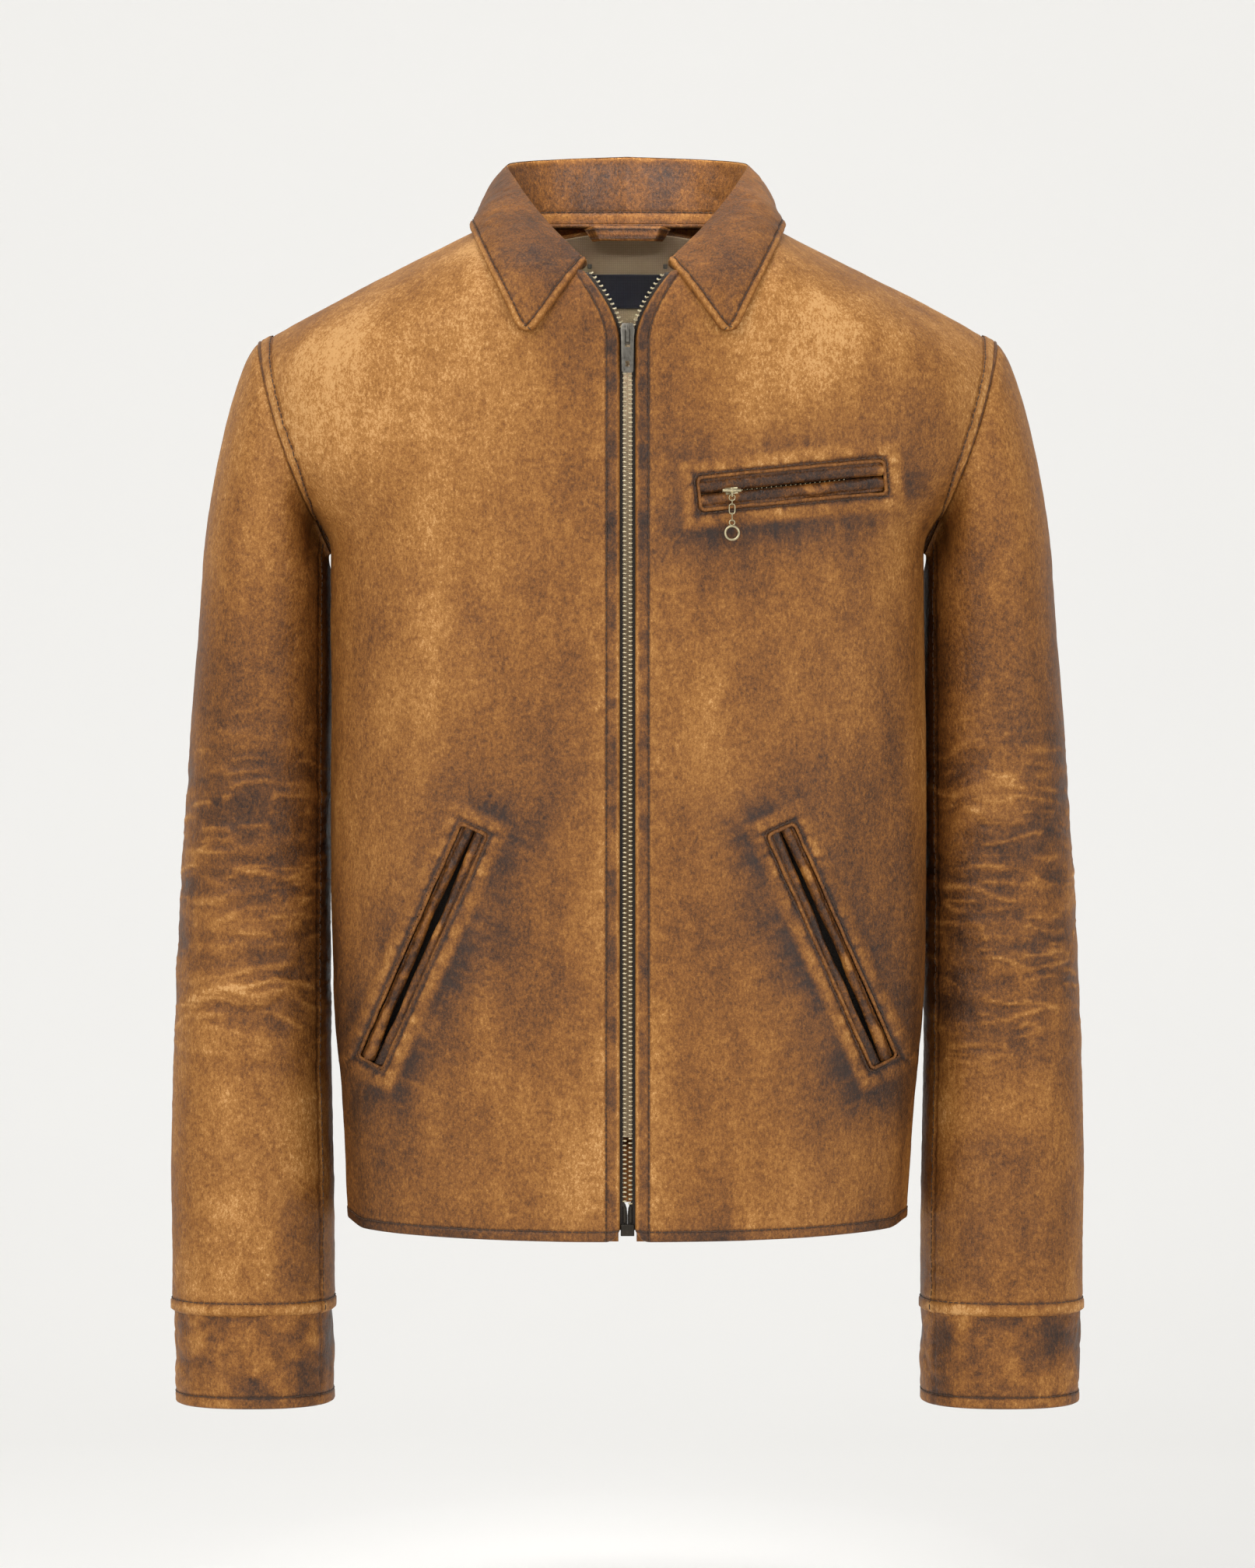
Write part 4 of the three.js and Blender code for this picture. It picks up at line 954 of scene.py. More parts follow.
def build_linings():
    for side, sign in SIDES:
        inner_sheet(f"front_lining_{side}", front_surface, np.linspace(0.2, 0.99, 70),
                    np.linspace(0.04, 0.98, 150), lining_depth, LINING, [f"lining_front_{side}"], "lining",
                    sign)
        inner_sheet(f"facing_{side}", front_surface, np.linspace(0.004, 0.205, 22),
                    np.linspace(0, 0.965, 150), 5.6, LEATHER, [f"front_facing_{side}"], "leather", sign)
        inner_sheet(f"hem_facing_front_{side}", front_surface, np.linspace(0.21, 0.99, 60),
                    np.linspace(0, 0.036, 12), 3.6, LEATHER, [f"hem_facing_{side}"], "leather", sign)
    wide = np.linspace(-0.985, 0.985, 150)
    inner_sheet("back_lining", back_surface, wide, np.linspace(0.04, 0.999, 150), 3.4, LINING,
                ["lining_back"], "lining")
    inner_sheet("hem_facing_behind", back_surface, wide, np.linspace(0, 0.036, 12), 3.6, LEATHER,
                ["hem_facing_back"], "leather")


# ---------- The sleeves ----------

sleeve_outer_x = through((-700, 284.5), (-665, 285), (-587, 285.8), (-513, 284.6), (-464, 282.8),
                         (-406, 280.4), (-342, 276.8), (-293, 273.6), (-234, 268.6), (SLEEVE_RING_Z, 267))
sleeve_inner_x = through((-700, 183), (-600, 184), (-500, 186.2), (-406, 186.6), (-300, 186.4),
                         (SLEEVE_RING_Z, 186.4))
sleeve_half_depth = through((-700, 51), (-665, 52), (-513, 57), (ELBOW_Z, 62), (-342, 66),
                            (SLEEVE_RING_Z, 73))
sleeve_y = through((-700, -4), (-560, 3), (ELBOW_Z, 9), (-300, 12), (SLEEVE_RING_Z, 12))
ARMHOLE_OUT = unit(np.array([SHOULDER_Z - ARMPIT_Z, 0, ARMPIT_X - SHOULDER_X]))
SPLIT_Z = ELBOW_Z + 75


def armhole(angle):
    z = lerp(ARMPIT_Z, SHOULDER_Z, (1 + np.cos(angle)) / 2)
    x = edge_x(np.clip(z, ARMPIT_Z, SHOULDER_Z))
    y = np.where(np.sin(angle) >= 0, skin_y(x, z, False), skin_y(x, z, True))
    return xyz(x, y, z)


def rounded(t, power):
    return np.sign(t) * np.abs(t) ** (2 / power)


def sleeve_ring(angle, z):
    half = (sleeve_outer_x(z) - sleeve_inner_x(z)) / 2
    middle = (sleeve_outer_x(z) + sleeve_inner_x(z)) / 2
    x = middle + half * rounded(np.cos(angle), 2.3)
    return xyz(x, sleeve_y(z) - sleeve_half_depth(z) * rounded(np.sin(angle), 2.3), z + np.zeros_like(x))


def sleeve_surface(angle, v):
    """v runs from 0 at the armhole to 1 at the first level ring, and on to 2 at the cuff."""
    low = (1 - np.cos(angle)) / 2
    t = np.clip(v, 0, 1)[..., None]
    start = armhole(angle) + ARMHOLE_OUT * 1.2
    end = sleeve_ring(angle, np.full_like(angle, float(SLEEVE_RING_Z)))
    a, b, c = hermite(t)
    leave = ARMHOLE_OUT * lerp(46, 9, low)[..., None]
    fall = xyz(0, 0, -lerp(105, 12, low))
    head = start * a + end * (1 - a) + leave * b + fall * c
    arm = sleeve_ring(angle, lerp(SLEEVE_RING_Z, SLEEVE_END_Z, np.clip(v - 1, 0, 1)))
    return np.where((v < 1)[..., None], head, arm)


def even_angles(count, z=-400.0):
    dense = np.linspace(0, 2 * np.pi, 4001)
    ring = sleeve_ring(dense, np.full_like(dense, z))
    length = lengths_along(ring)
    return np.interp(np.linspace(0, length[-1], count, endpoint=False), length, dense)


def sleeve_relief(p, around, seed):
    """The creases of a worn sleeve, deepest round the elbow, with dark patches and painted shade in their
    hollows, and where they are rubbed.
    """
    z = p[..., 2]
    local = p - np.array([np.mean(p[..., 0]), 0, 0])
    sag = 6 * noise(local, 48, seed + 11) + 2.2 * noise(local, 19, seed + 12)
    sagging = local + xyz(0, 0, sag)

    def wave(size, stretch, k):
        return noise(sagging / (stretch, stretch, 1), size, seed + k)

    def ridges(size, stretch, slant, k, width):
        leaning = (sagging + xyz(0, 0, slant * local[..., 0])) / (stretch, stretch, 1)
        level = noise(leaning, size, seed + k)
        rise = np.abs(noise(leaning + (0, 0, 0.06 * size), size, seed + k) - level)
        line = np.exp(-((level / width) ** 2)) * ease(rise, 0.015, 0.065)
        return line * ease(wave(11, 2.2, k + 5), -0.35, 0.25)

    elbow = ease(z, -555, -465) * ease(z, -280, -355)
    soft = 1.0 * wave(14, 3.4, 1) + 0.7 * wave(8, 3.0, 2) + 0.4 * wave(4.6, 2.6, 3)
    veins = np.maximum(ridges(12, 4.0, 0.2, 21, 0.21), ridges(13, 4.2, -0.17, 41, 0.21))
    veins = np.maximum(veins, 0.8 * ridges(7.5, 3.2, 0.03, 61, 0.23))
    tiny = 0.3 * wave(4.2, 1.8, 4) + 0.2 * noise(local, 3.2, seed + 13)
    patch = ease(wave(16, 1.9, 7) + 0.6 * wave(7, 2.2, 9) + 0.4 * wave(3.5, 1.8, 10), -0.2, 0.6)
    low = ease(z, -380, -560)
    facing = 0.35 + 0.65 * np.abs(np.sin(around)) ** 1.5
    height = (facing
              * ((soft + 0.9 * veins) * (elbow + 0.1 * low) + tiny * (0.4 + 0.6 * ease(z, -300, -420))))
    # Dark patches, and painted shade in the hollows of the soft creases.
    dark = elbow * (0.16 * patch + 0.15 * ease(soft, 0.2, -0.6)) * (1 - 0.8 * veins)
    light = elbow * (0.06 + veins + 0.35 * ease(soft, 0.1, 0.9)) + 0.1 * ease(tiny, 0, 0.3) * low
    return height, dark, light


def across_joint(obj, joint):
    """Bakes a piece's placement into its mesh; the joint it is given (the moving and still bodies and two
    points) is not used.
    """
    moving, still, start, stop = joint
    tuple(place(start))
    tuple(place(stop))
    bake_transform(obj)


def build_sleeve(side, sign):
    angles = even_angles(232)
    head = np.concatenate([np.linspace(0, 0.02, 4), np.linspace(0.03, 1, 62)[:-1]])
    arm = 1 + np.linspace(0, 1, 276)
    rows = np.concatenate([head, arm])
    shape = grid_of(sleeve_surface, angles, rows)
    normals = normals_of(shape, wrap=True)
    middle = shape.mean(axis=1, keepdims=True)
    normals = away_from(shape, normals, middle)
    around = np.broadcast_to(angles, shape.shape[:2])
    z = shape[..., 2]
    seed = 100 if sign > 0 else 300
    from_head = np.pad(np.cumsum(np.linalg.norm(np.diff(shape, axis=0), axis=2), axis=0), ((1, 0), (0, 0)))
    quiet = ease(from_head, 2, 26)
    relief, dark, light = sleeve_relief(shape, around, seed)
    height = leather_relief(shape) * 0.9 * quiet + relief * quiet - roll(from_head, 2.0)
    gather = noise(xyz(around * 60, from_head * 0.3, 0), 9, seed + 3) * hump(from_head, 5, 8)
    height += 0.7 * gather * ease(np.cos(around), 0.1, 0.7)
    front_mm = (around - FRONT_SEAM) * 58
    back_mm = (around - BACK_SEAM) * 58
    for seam_mm in (front_mm, back_mm):
        rib = noise(xyz(seam_mm * 0.15, 0, z), 5.5, seed + 5) * np.exp(-np.abs(seam_mm) / 8)
        height += 0.5 * hump(seam_mm, 3, 2.2) + 0.5 * rib - 0.9 * hump(seam_mm, 0, 0.9)
    end = z - SLEEVE_END_Z
    end_rib = noise(xyz(around * 55, end * 0.2, 0), 4.5, seed + 14) * np.exp(-np.abs(end - 8) / 6)
    height += stitched_step(end, SLEEVE_STITCH, 0.9, 0.7) - roll(end, 2.2) + 0.45 * end_rib
    blotch = noise(shape * (0.7, 0.7, 1), 34, seed + 8)
    # The last term is painted shade: the sleeve's inner side, which faces the body, goes darker.
    burn_and_painted_shade = dark + 0.2 * ease(blotch, 0, 0.7) * ease(z, -150, -260) + 0.12 * ease(np.cos(around), 0.1, -0.8)
    burn_and_painted_shade += (0.2 * ease(z, -600, -660) * ease(noise(shape, 24, seed + 9), -0.1, 0.7) + 0.5
             * hump(end, 8, 1.1))
    burn_and_painted_shade += 0.4 * hump(front_mm, 0, 1.6) + 0.1 * ease(z, -215, -330) * ease(z, -420, -360)
    rub_and_painted_light = (light + 0.58 * ease(z, -260, -100) + 0.3 * hump(from_head, 4, 4) + 0.4 * ease(-blotch, 0, 0.7)
           * ease(z, -480, -560))
    rub_and_painted_light += (0.45 + 0.6 * end_rib) * hump(end, 4, 3.5)
    rub_and_painted_light += 0.3 * hump(front_mm, 3, 2.5) * ease(z, -430, -560) + 0.5 * ease(z, -480, -560)
    full = shape * (sign, 1, 1)
    outs = normals * (sign, 1, 1)
    cut = int(np.argmin(np.abs(z.mean(axis=1) - SPLIT_Z) + 1e3 * (rows < 1)))
    axis_y = float(sleeve_y(ELBOW_Z))
    mirror = np.array([sign, 1, 1])
    centre = mirror * ((ARMPIT_X + SHOULDER_X) / 2, -6.7, (ARMPIT_Z + SHOULDER_Z) / 2)
    out = ARMHOLE_OUT * mirror
    upper = (f"upper_sleeve_{side}", "jacket_body", centre + out * 5, centre + out * 47)
    lower = (f"forearm_{side}", f"upper_sleeve_{side}",
             *(mirror * (235, axis_y, ELBOW_Z + reach) for reach in (68, -68)))
    parts = ((f"sleeve_above_elbow_{side}", slice(0, cut + 1), ("low",), [f"sleeve_upper_{side}"], upper),
             (f"sleeve_below_elbow_{side}", slice(cut, None), ("high",),
              [f"forearm_top_{side}", f"forearm_under_{side}"], lower))
    for name, part, ends, nodes, joint in parts:
        obj, top, fine = leather_skin(name, full[part], outs[part], height[part], LEATHER, None, nodes,
                                      burn_and_painted_shade[part], rub_and_painted_light[part], ends, True)
        across_joint(obj, joint)
        seams = []
        for seam_mm in (front_mm, back_mm):
            seams += sewn(top, fine, seam_mm[part], 3.0, True, pitch=4.4, length=3.4)
        if "high" in ends:
            seams += sewn(top, fine, end[part], SLEEVE_STITCH)
        across_joint(stitching(f"{name}_stitches", seams, None), joint)
    build_sleeve_lining(side, sign, upper, lower)
    build_cuff(side, sign, seed)
    build_armhole_welt(side, sign)


def build_sleeve_lining(side, sign, upper, lower):
    angles = even_angles(72)
    ranges = ((f"sleeve_upper_lining_{side}",
               np.concatenate([np.linspace(0.3, 1, 16), np.linspace(1.02, 1.27, 24)]), upper),
              (f"forearm_lining_{side}", np.linspace(1.262, 1.995, 70), lower))
    for node, rows, joint in ranges:
        shape = grid_of(sleeve_surface, angles, rows)
        normals = away_from(shape, normals_of(shape, wrap=True), shape.mean(axis=1, keepdims=True))
        layer = (shape - normals * (4.6 + 0.8 * rumple(shape, 30, 77))[..., None]) * (sign, 1, 1)
        quads = outward(layer, quads_of(*layer.shape[:2], True), -normals * (sign, 1, 1))
        obj = piece(node.replace("sleeve_upper", "upper_arm").replace("forearm", "lower_arm"), layer, quads,
                    LINING, None, [node], "lining", marks())
        across_joint(obj, joint)


def build_cuff(side, sign, seed):
    angles = even_angles(210, -660.0)
    drop = np.concatenate([np.linspace(0, 12, 14), np.linspace(12, 56, 30)[1:],
                           np.linspace(56, CUFF_TOP_Z - CUFF_END_Z, 16)[1:]])
    a, d = np.meshgrid(angles, drop)
    z = CUFF_TOP_Z - d
    base = sleeve_ring(a, np.full_like(a, float(SLEEVE_END_Z)))
    middle = base.mean(axis=1, keepdims=True)
    out = unit((base - middle) * (1, 1, 0))
    shape = base - out * (1.1 + 0.008 * d)[..., None] - (1.0, 0, 0) * ease(d, 10, 40)[..., None]
    shape[..., 2] = z
    end = z - CUFF_END_Z
    height = (0.9 * leather_relief(shape) + 0.9 * folds(shape, 18, 2.0, 0.3, seed + 70) + 0.55
              * folds(shape, 8, 1.6, -0.3, seed + 71))
    height = height * ease(end, 0, 12) + stitched_step(end, CUFF_STITCH, 0.4, 0.5) - roll(end, 1.6)
    front_mm = (a - FRONT_SEAM) * 52
    height -= 0.7 * hump(front_mm, 0, 0.9)
    patches = noise(shape, 19, seed + 72) + 0.5 * noise(shape, 8, seed + 73)
    # The height term is painted shade in the hollows of the cuff's folds.
    burn_and_painted_shade = 0.26 * ease(patches, -0.2, 0.7) + 0.3 * ease(height, 0.2, -0.8) + 0.4 * hump(end, 7, 1.2)
    rub_and_painted_light = 0.4 * ease(patches, 0.0, -0.5) + 0.3 * ease(height, 0.3, 1.0)
    mirror = np.array([sign, 1, 1])
    _, top, fine = leather_skin(f"cuff_band_{side}", shape * mirror, out * mirror, height, LEATHER,
                                f"forearm_{side}", [f"cuff_{side}"], burn_and_painted_shade, rub_and_painted_light, ("high",), True, turn=14.0)
    stitching(f"cuff_stitches_{side}", sewn(top, fine, end, CUFF_STITCH), f"forearm_{side}")


def build_armhole_welt(side, sign):
    t = np.linspace(0, 2 * np.pi, 260, endpoint=False)
    path = (armhole(t) + ARMHOLE_OUT * 0.6) * (sign, 1, 1)
    points, quads = tube(path, 1.1, 8, closed=True, normal=ARMHOLE_OUT * (sign, 1, 1))
    # Its darkening (0.25) is painted shade: the soft shadow along the seam where the sleeve meets the body.
    piece(f"armhole_welt_{side}", points, quads, LEATHER, "jacket_body", [f"armhole_seam_{side}"],
          "leather", marks(0.25))


# ---------- The collar and neck ----------

COLLAR_THREAD = {"pitch": 3.8, "length": 3.0}

NECK_LINE = through_points((0, 0, 63.5, 14), (0.3, 46, 50.5, 12.5), (0.52, 75.5, 14, 6.5),
                           (0.7, 72.5, -42, -1), (0.85, 57, -76, -11), (1, 27, -96.5, -31))
ROLL_LINE = through_points((0, 0, 73, 57), (0.3, 47, 62, 54), (0.52, 77, 16, 44.5), (0.7, 68, -38, 25),
                           (0.85, 48, -80, -4), (1, 25, -107, -28.5))
LEAF_EDGE = through_points((0, 0, 94, 10), (0.3, 60, 80, 7), (0.52, 97.5, 22, 5), (0.7, 98, -45, 0),
                           (0.83, 86, -110, -29), (0.93, 72, -128.5, -58), (1, 62, -131.5, -80))


def neck_out(p):
    return unit((p + (0, 10, 0)) * (1, 1, 0))


def collar_section(c, v):
    """v runs from 0 at the roll to 1 at the leaf's edge."""
    k = np.abs(c)
    side = np.where(c < 0, -1.0, 1.0)
    roll_at, edge = ROLL_LINE(k), LEAF_EDGE(k)
    start = roll_at - neck_out(roll_at) * 1.2 + (0, 0, 1.6)
    swell = lerp(7, 19, ease(k, 0.6, 0.95))[..., None]
    over = lerp(start, edge, 0.42) + neck_out(edge) * swell + (0, 0, 5)
    t = v[..., None]
    p = start * (1 - t) ** 2 + over * 2 * t * (1 - t) + edge * t**2
    p[..., 0] = (p[..., 0] - TIP_BOW * 4 * (v * (1 - v)) * ease(k, 0.72, 1)) * side
    return p


def round_corner(grid, a, b, radius, low_u, low_v):
    """A grid whose corner, where both distances are small, is drawn in to a round one."""
    s, t = np.clip((radius - a) / radius, 0, 1), np.clip((radius - b) / radius, 0, 1)
    u = unit(np.gradient(grid, axis=1)) * (1 if low_u else -1)
    w = unit(np.gradient(grid, axis=0)) * (1 if low_v else -1)
    pull_s, pull_t = s - s * np.sqrt(1 - t**2 / 2), t - t * np.sqrt(1 - s**2 / 2)
    return grid + radius * (u * pull_s[..., None] + w * pull_t[..., None])


def build_collar():
    c = np.linspace(-1, 1, 4001)
    columns = spaced(collar_section(c, np.full_like(c, 0.9)), c, 1.9, 0.7, 10)
    v = np.linspace(0, 1, 2001)
    rows = spaced(collar_section(np.full_like(v, 0.9), v), v, 1.3, 0.6, 9)
    grid = grid_of(collar_section, columns, rows)
    normals = outer_normals(grid, (0, -10.0, -60))
    left, right, from_roll, to_edge = distances(grid)
    grid = round_corner(grid, left, to_edge, TIP_RADIUS, True, False)
    grid = round_corner(grid, right, to_edge, TIP_RADIUS, False, False)
    to_front = np.minimum(left, right)
    rim = np.minimum(to_front, to_edge)
    along = np.where(to_front < to_edge, from_roll, left)
    rib = noise(xyz(rim * 0.25, along, 0), 5.5, 81) * np.exp(-np.abs(rim - 5) / 5)
    calm = 0.2 + 0.8 * ease(from_roll, 0, 12)
    height = calm * (0.6 * leather_relief(grid) + 0.9 * noise(grid, 34, 83) * ease(rim, 4, 22)) + 0.75 * rib
    height += stitched_step(rim, COLLAR_STITCH, 0.6, 0.8) - roll(rim, 2.2)
    height += ((0.45 * folds(grid, 16, 1.5, 0.6, 85) + 0.3 * folds(grid, 7, 1.3, -0.4, 86))
               * ease(rim, 6, 14) * calm)
    burn_and_painted_shade = 0.45 * hump(rim, 5, 1.0) + 0.12 * ease(noise(grid, 40, 87), 0.1, 0.7)
    rub_and_painted_light = 0.8 * hump(rim, 2, 2.6) + 0.3 * ease(rib, 0.1, 0.6) + 0.35 * ease(noise(grid, 21, 88), 0.1, 0.8)
    _, top, fine = leather_skin("collar_leaf", grid, normals, height, COLLAR_LEATHER, "jacket_body",
                                ["collar_fall"], burn_and_painted_shade, rub_and_painted_light, ("left", "right", "high"), turn=6.0, thick=2.6)
    body_stitches.extend(sewn(top, fine, to_edge, COLLAR_STITCH, **COLLAR_THREAD))
    for distance in (left, right):
        body_stitches.extend(sewn(top, fine, distance, COLLAR_STITCH, True, **COLLAR_THREAD))
    build_collar_inside()


def build_collar_inside():
    c, v = np.meshgrid(np.linspace(-1, 1, 190), np.concatenate([np.linspace(0, 1, 44), [1.02, 1.035]]))
    k, side = np.abs(c), np.where(c < 0, -1.0, 1.0)
    low, high = NECK_LINE(k), ROLL_LINE(k)
    t = np.clip(v, 0, 1)[..., None]
    p = lerp(low, high, t)
    out = neck_out(p)
    lean = 1.5 * np.sin(np.pi * t)
    crest = np.clip(v - 1, 0, 1)[..., None]
    p = p - out * (1.4 + lean) + out * (crest * 52) + (0, 0, 1.0) * (1.2 * ease(t, 0.9, 1) - crest * 20)
    p[..., 0] = p[..., 0] * side
    normals = -outer_normals(p, (0, -10.0, 20))
    _, _, up, down = distances(p)
    streak = noise(xyz(p[..., 0], p[..., 1], p[..., 2] * 0.2), 7, 91)
    height = (0.5 * leather_relief(p) + 0.35 * streak * ease(up, 3, 12) + 0.6 * folds(p, 18, 1.2, 0.9, 93)
              * ease(k, 0.1, 0.4))
    height = (height + 0.5 * ease(up, 8, 6) - 0.6 * hump(up, 8, 0.9)) * ease(down, 0, 8)
    burn_and_painted_shade = (0.16 * ease(noise(p, 26, 95), 0, 0.6) - 0.5 * ease(down, 7, 1) - 0.3 * hump(up, 5, 3) + 0.3
            * hump(up, 8, 1))
    rub_and_painted_light = 0.5 * ease(down, 6, 1) + 0.3 * hump(up, 5, 2.5)
    _, top, fine = leather_skin("collar_inside", p, normals, height, COLLAR_LEATHER, "jacket_body",
                                ["collar_stand"], burn_and_painted_shade, rub_and_painted_light, ("left", "right", "low"), turn=3.0)
    body_stitches.extend(sewn(top, fine, up, STAND_STITCH, **COLLAR_THREAD))
    neck = NECK_LINE(np.linspace(0, 0.98, 120))
    line = np.concatenate([(neck * (-1, 1, 1))[::-1], neck[1:]])
    line = line - neck_out(line) * 3.0 + (0, 0, -1.2)
    points, quads = tube(line, 1.3, 8, normal=(0, 0, 1))
    piece("neck_seam_piping", points, quads, COLLAR_LEATHER, "jacket_body", (), "leather",
          marks(0.15, 0.2))


def cad_corners(node):
    """The low and high corners of a CAD node's box, in the jacket's own axes."""
    return [np.array(corner) * 1000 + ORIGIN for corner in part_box(node)]


def build_loop():
    """The leather hanger loop: a strap on edge, wider and stitched down at its ends."""
    low, high = cad_corners("hanger_loop")
    half = (high[0] - low[0]) / 2
    x = np.linspace(-half, half, 90)
    tall = (high[2] - low[2]) / 2
    middle_z = (high[2] + low[2]) / 2
    end = ease(np.abs(x), half - 7, half)
    y = ORIGIN[1] + (high[1] - 2.2 - low[1]) * end
    rim = np.linspace(0, 2 * np.pi, 24, endpoint=False)
    reach = tall * (1 - 0.12 * end)
    ring_z = rounded(np.cos(rim), 5)
    ring_y = rounded(np.sin(rim), 2.6)
    taper = lerp(0.8, 1.0, (ring_z + 1) / 2)
    points = xyz(x[:, None] * taper[None], y[:, None] + 1.05 * ring_y[None], middle_z + reach[:, None]
                 * ring_z[None] + 0.25 * noise(xyz(x, 0, 0), 9, 97)[:, None])
    burn_and_painted_shade = np.full((90, 24), 0.1) + 0.8 * hump(np.abs(ring_z), 0.62, 0.1)[None]
    quads = outward(points, quads_of(90, 24, True), points - points.mean(axis=1, keepdims=True))
    # The rubbed lightening of 0.7 over the whole loop is painted light, which brightens it against the
    # shade it hangs in.
    piece("hanging_loop", points, quads, COLLAR_LEATHER, "jacket_body", ["hanger_loop"], "leather",
          marks(burn_and_painted_shade, 0.7))
    parts = []
    for level in (0.62, -0.62):
        line = xyz(x * lerp(0.8, 1.0, (level + 1) / 2), y - 1.05, middle_z + reach * level)
        parts += stitch_parts(line, np.broadcast_to([0, -1.0, 0], line.shape), 3.0, 2.3, 0.25)
    body_stitches.extend(parts)


def build_label():
    """A blank woven patch on the lining below the loop."""
    x, z = np.meshgrid(np.linspace(-37, 37, 60), np.linspace(-34, -12, 24))
    centre = on_body(x, z, True)
    normals = -outer_normals(centre, (0, 0, -60.0))
    edge = np.minimum(37 - np.abs(x), np.minimum(z + 34, -12 - z))
    front = centre + normals * (6.0 + 0.25 * noise(centre, 18, 99) - 0.4 * ease(edge, 1.2, 0))[..., None]
    points, quads = closed_layer(front, front - normals * 0.5)
    piece("blank_label", points, quads, LABEL, "jacket_body", ["neck_label"], "label")


# ---------- Zips ----------

TAPE_END_Z = -613
SLIDER_POST_Z = -601.2  # just below the slider's post where the slider stands lowest


def bead(centre, size, lean=0.0):
    """A small rounded block for one zip tooth."""
    u = np.linspace(0, np.pi, 6)
    a = np.linspace(0, 2 * np.pi, 8, endpoint=False) + np.pi / 8
    ring_r = rounded(np.sin(u), 4.5)[:, None]
    x = ring_r * rounded(np.cos(a), 5)[None]
    y = ring_r * rounded(np.sin(a), 5)[None]
    z = np.broadcast_to(rounded(np.cos(u), 4.5)[:, None], x.shape)
    p = xyz(x * size[0], y * size[1], z * size[2]) / 2
    c, s = math.cos(lean), math.sin(lean)
    turned = xyz(p[..., 0] * c + p[..., 2] * s, p[..., 1], -p[..., 0] * s + p[..., 2] * c)
    return turned + centre, quads_of(6, 8, True)


def build_front_zip():
    body = "jacket_body"
    for side, sign in SIDES:
        start = TEETH_END_Z + 1 + (TOOTH_PITCH / 2 if sign < 0 else 0)
        levels = np.arange(start, V_TOP_Z - 1.5, TOOTH_PITCH)
        parts = []
        for z in levels:
            edge = front_edge_x(z)
            slope = (front_edge_x(z + 1) - front_edge_x(z - 1)) / 2
            x = sign * (edge - ZIP_GAP + 1.55)
            y = skin_y(edge, z, False) + TEETH_DEPTH - 0.2
            parts.append(bead(np.array([x, y, z]), (2.2, 2.2, 1.15), sign * math.atan(slope)))
            parts.append(bead(np.array([x + sign * 1.1, y + 0.1, z]), (0.9, 2.3, 0.95), sign
                              * math.atan(slope)))
        piece(f"teeth_{side}", *gathered(parts), TOOTH_BRASS, body, [f"zip_teeth_{side}"], "brass")
        build_tape(side, sign)
        stop_box(f"zip_top_stop_{side}", body, DARK_METAL)
        stop_box(f"zip_end_pin_{side}", body, DARK_METAL)
    stop_box("zip_retainer_box", body, DARK_METAL)


def build_tape(side, sign):
    z = np.linspace(TAPE_END_Z, V_TOP_Z - 1, 260)
    u = np.linspace(2.6 - ZIP_GAP, 9, 14)
    offset, level = np.meshgrid(u, z)
    closing = (2.13 * ease(level, TEETH_END_Z + 3, TEETH_END_Z - 1) + 0.44
               * ease(level, SLIDER_POST_Z, SLIDER_POST_Z - 1.2))
    offset = offset - closing * ease(offset, 0, 2.6 - ZIP_GAP)
    edge = front_edge_x(level)
    x = edge + offset
    y = skin_y(x, level, False) + TEETH_DEPTH + 0.15 + 0.12 * np.sin(offset * 4)
    layer = xyz(x * sign, y, level)
    cord = 0.55 * hump(offset, 2.9 - ZIP_GAP, 0.6)
    front = layer - xyz(0, cord, 0)
    points, quads = closed_layer(front, layer + (0, 0.5, 0))
    piece(f"tape_{side}", points, quads, TAPE, "jacket_body", [f"zip_tape_{side}"], "zip_tape")


def face_order(face):
    """A number that sorts a mesh's faces by their vertices, so that every run leaves them in one order."""
    lowest = sorted(vert.index for vert in face.verts)[:3]
    return float(sum(index * 10000 ** (2 - k) for k, index in enumerate(lowest)))


def stop_box(node, body, material, width=0.45):
    """A metal part made from its CAD solid with its edges rounded over."""
    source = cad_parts[node].data
    mesh = source.copy()
    mesh.name = f"{node}_rounded"
    bm = bmesh.new()
    bm.from_mesh(mesh)
    bmesh.ops.remove_doubles(bm, verts=bm.verts, dist=1e-6)
    bmesh.ops.dissolve_limit(bm, angle_limit=0.02, verts=bm.verts, edges=bm.edges)
    sharp = [e for e in bm.edges if len(e.link_faces) == 2 and e.calc_face_angle(0) > 0.5]
    bmesh.ops.bevel(bm, geom=sharp, offset=width / 1000, segments=3, profile=0.5, affect="EDGES",
                    clamp_overlap=True)
    bmesh.ops.triangulate(bm, faces=[f for f in bm.faces if len(f.verts) > 4])
    for face in bm.faces:
        face.smooth = True
    bm.verts.index_update()
    bm.faces.sort(key=face_order)
    bm.to_mesh(mesh)
    bm.free()
    mesh.materials.clear()
    mesh.materials.append(material)
    co = np.empty(len(mesh.vertices) * 3)
    mesh.vertices.foreach_get("co", co)
    rest = mesh.attributes.get("rest") or mesh.attributes.new("rest", "FLOAT_VECTOR", "POINT")
    rest.data.foreach_set("vector", co)
    obj = bpy.data.objects.new(f"{node}_metal", mesh)
    bpy.context.scene.collection.objects.link(obj)
    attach(obj, body)
    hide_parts(node)


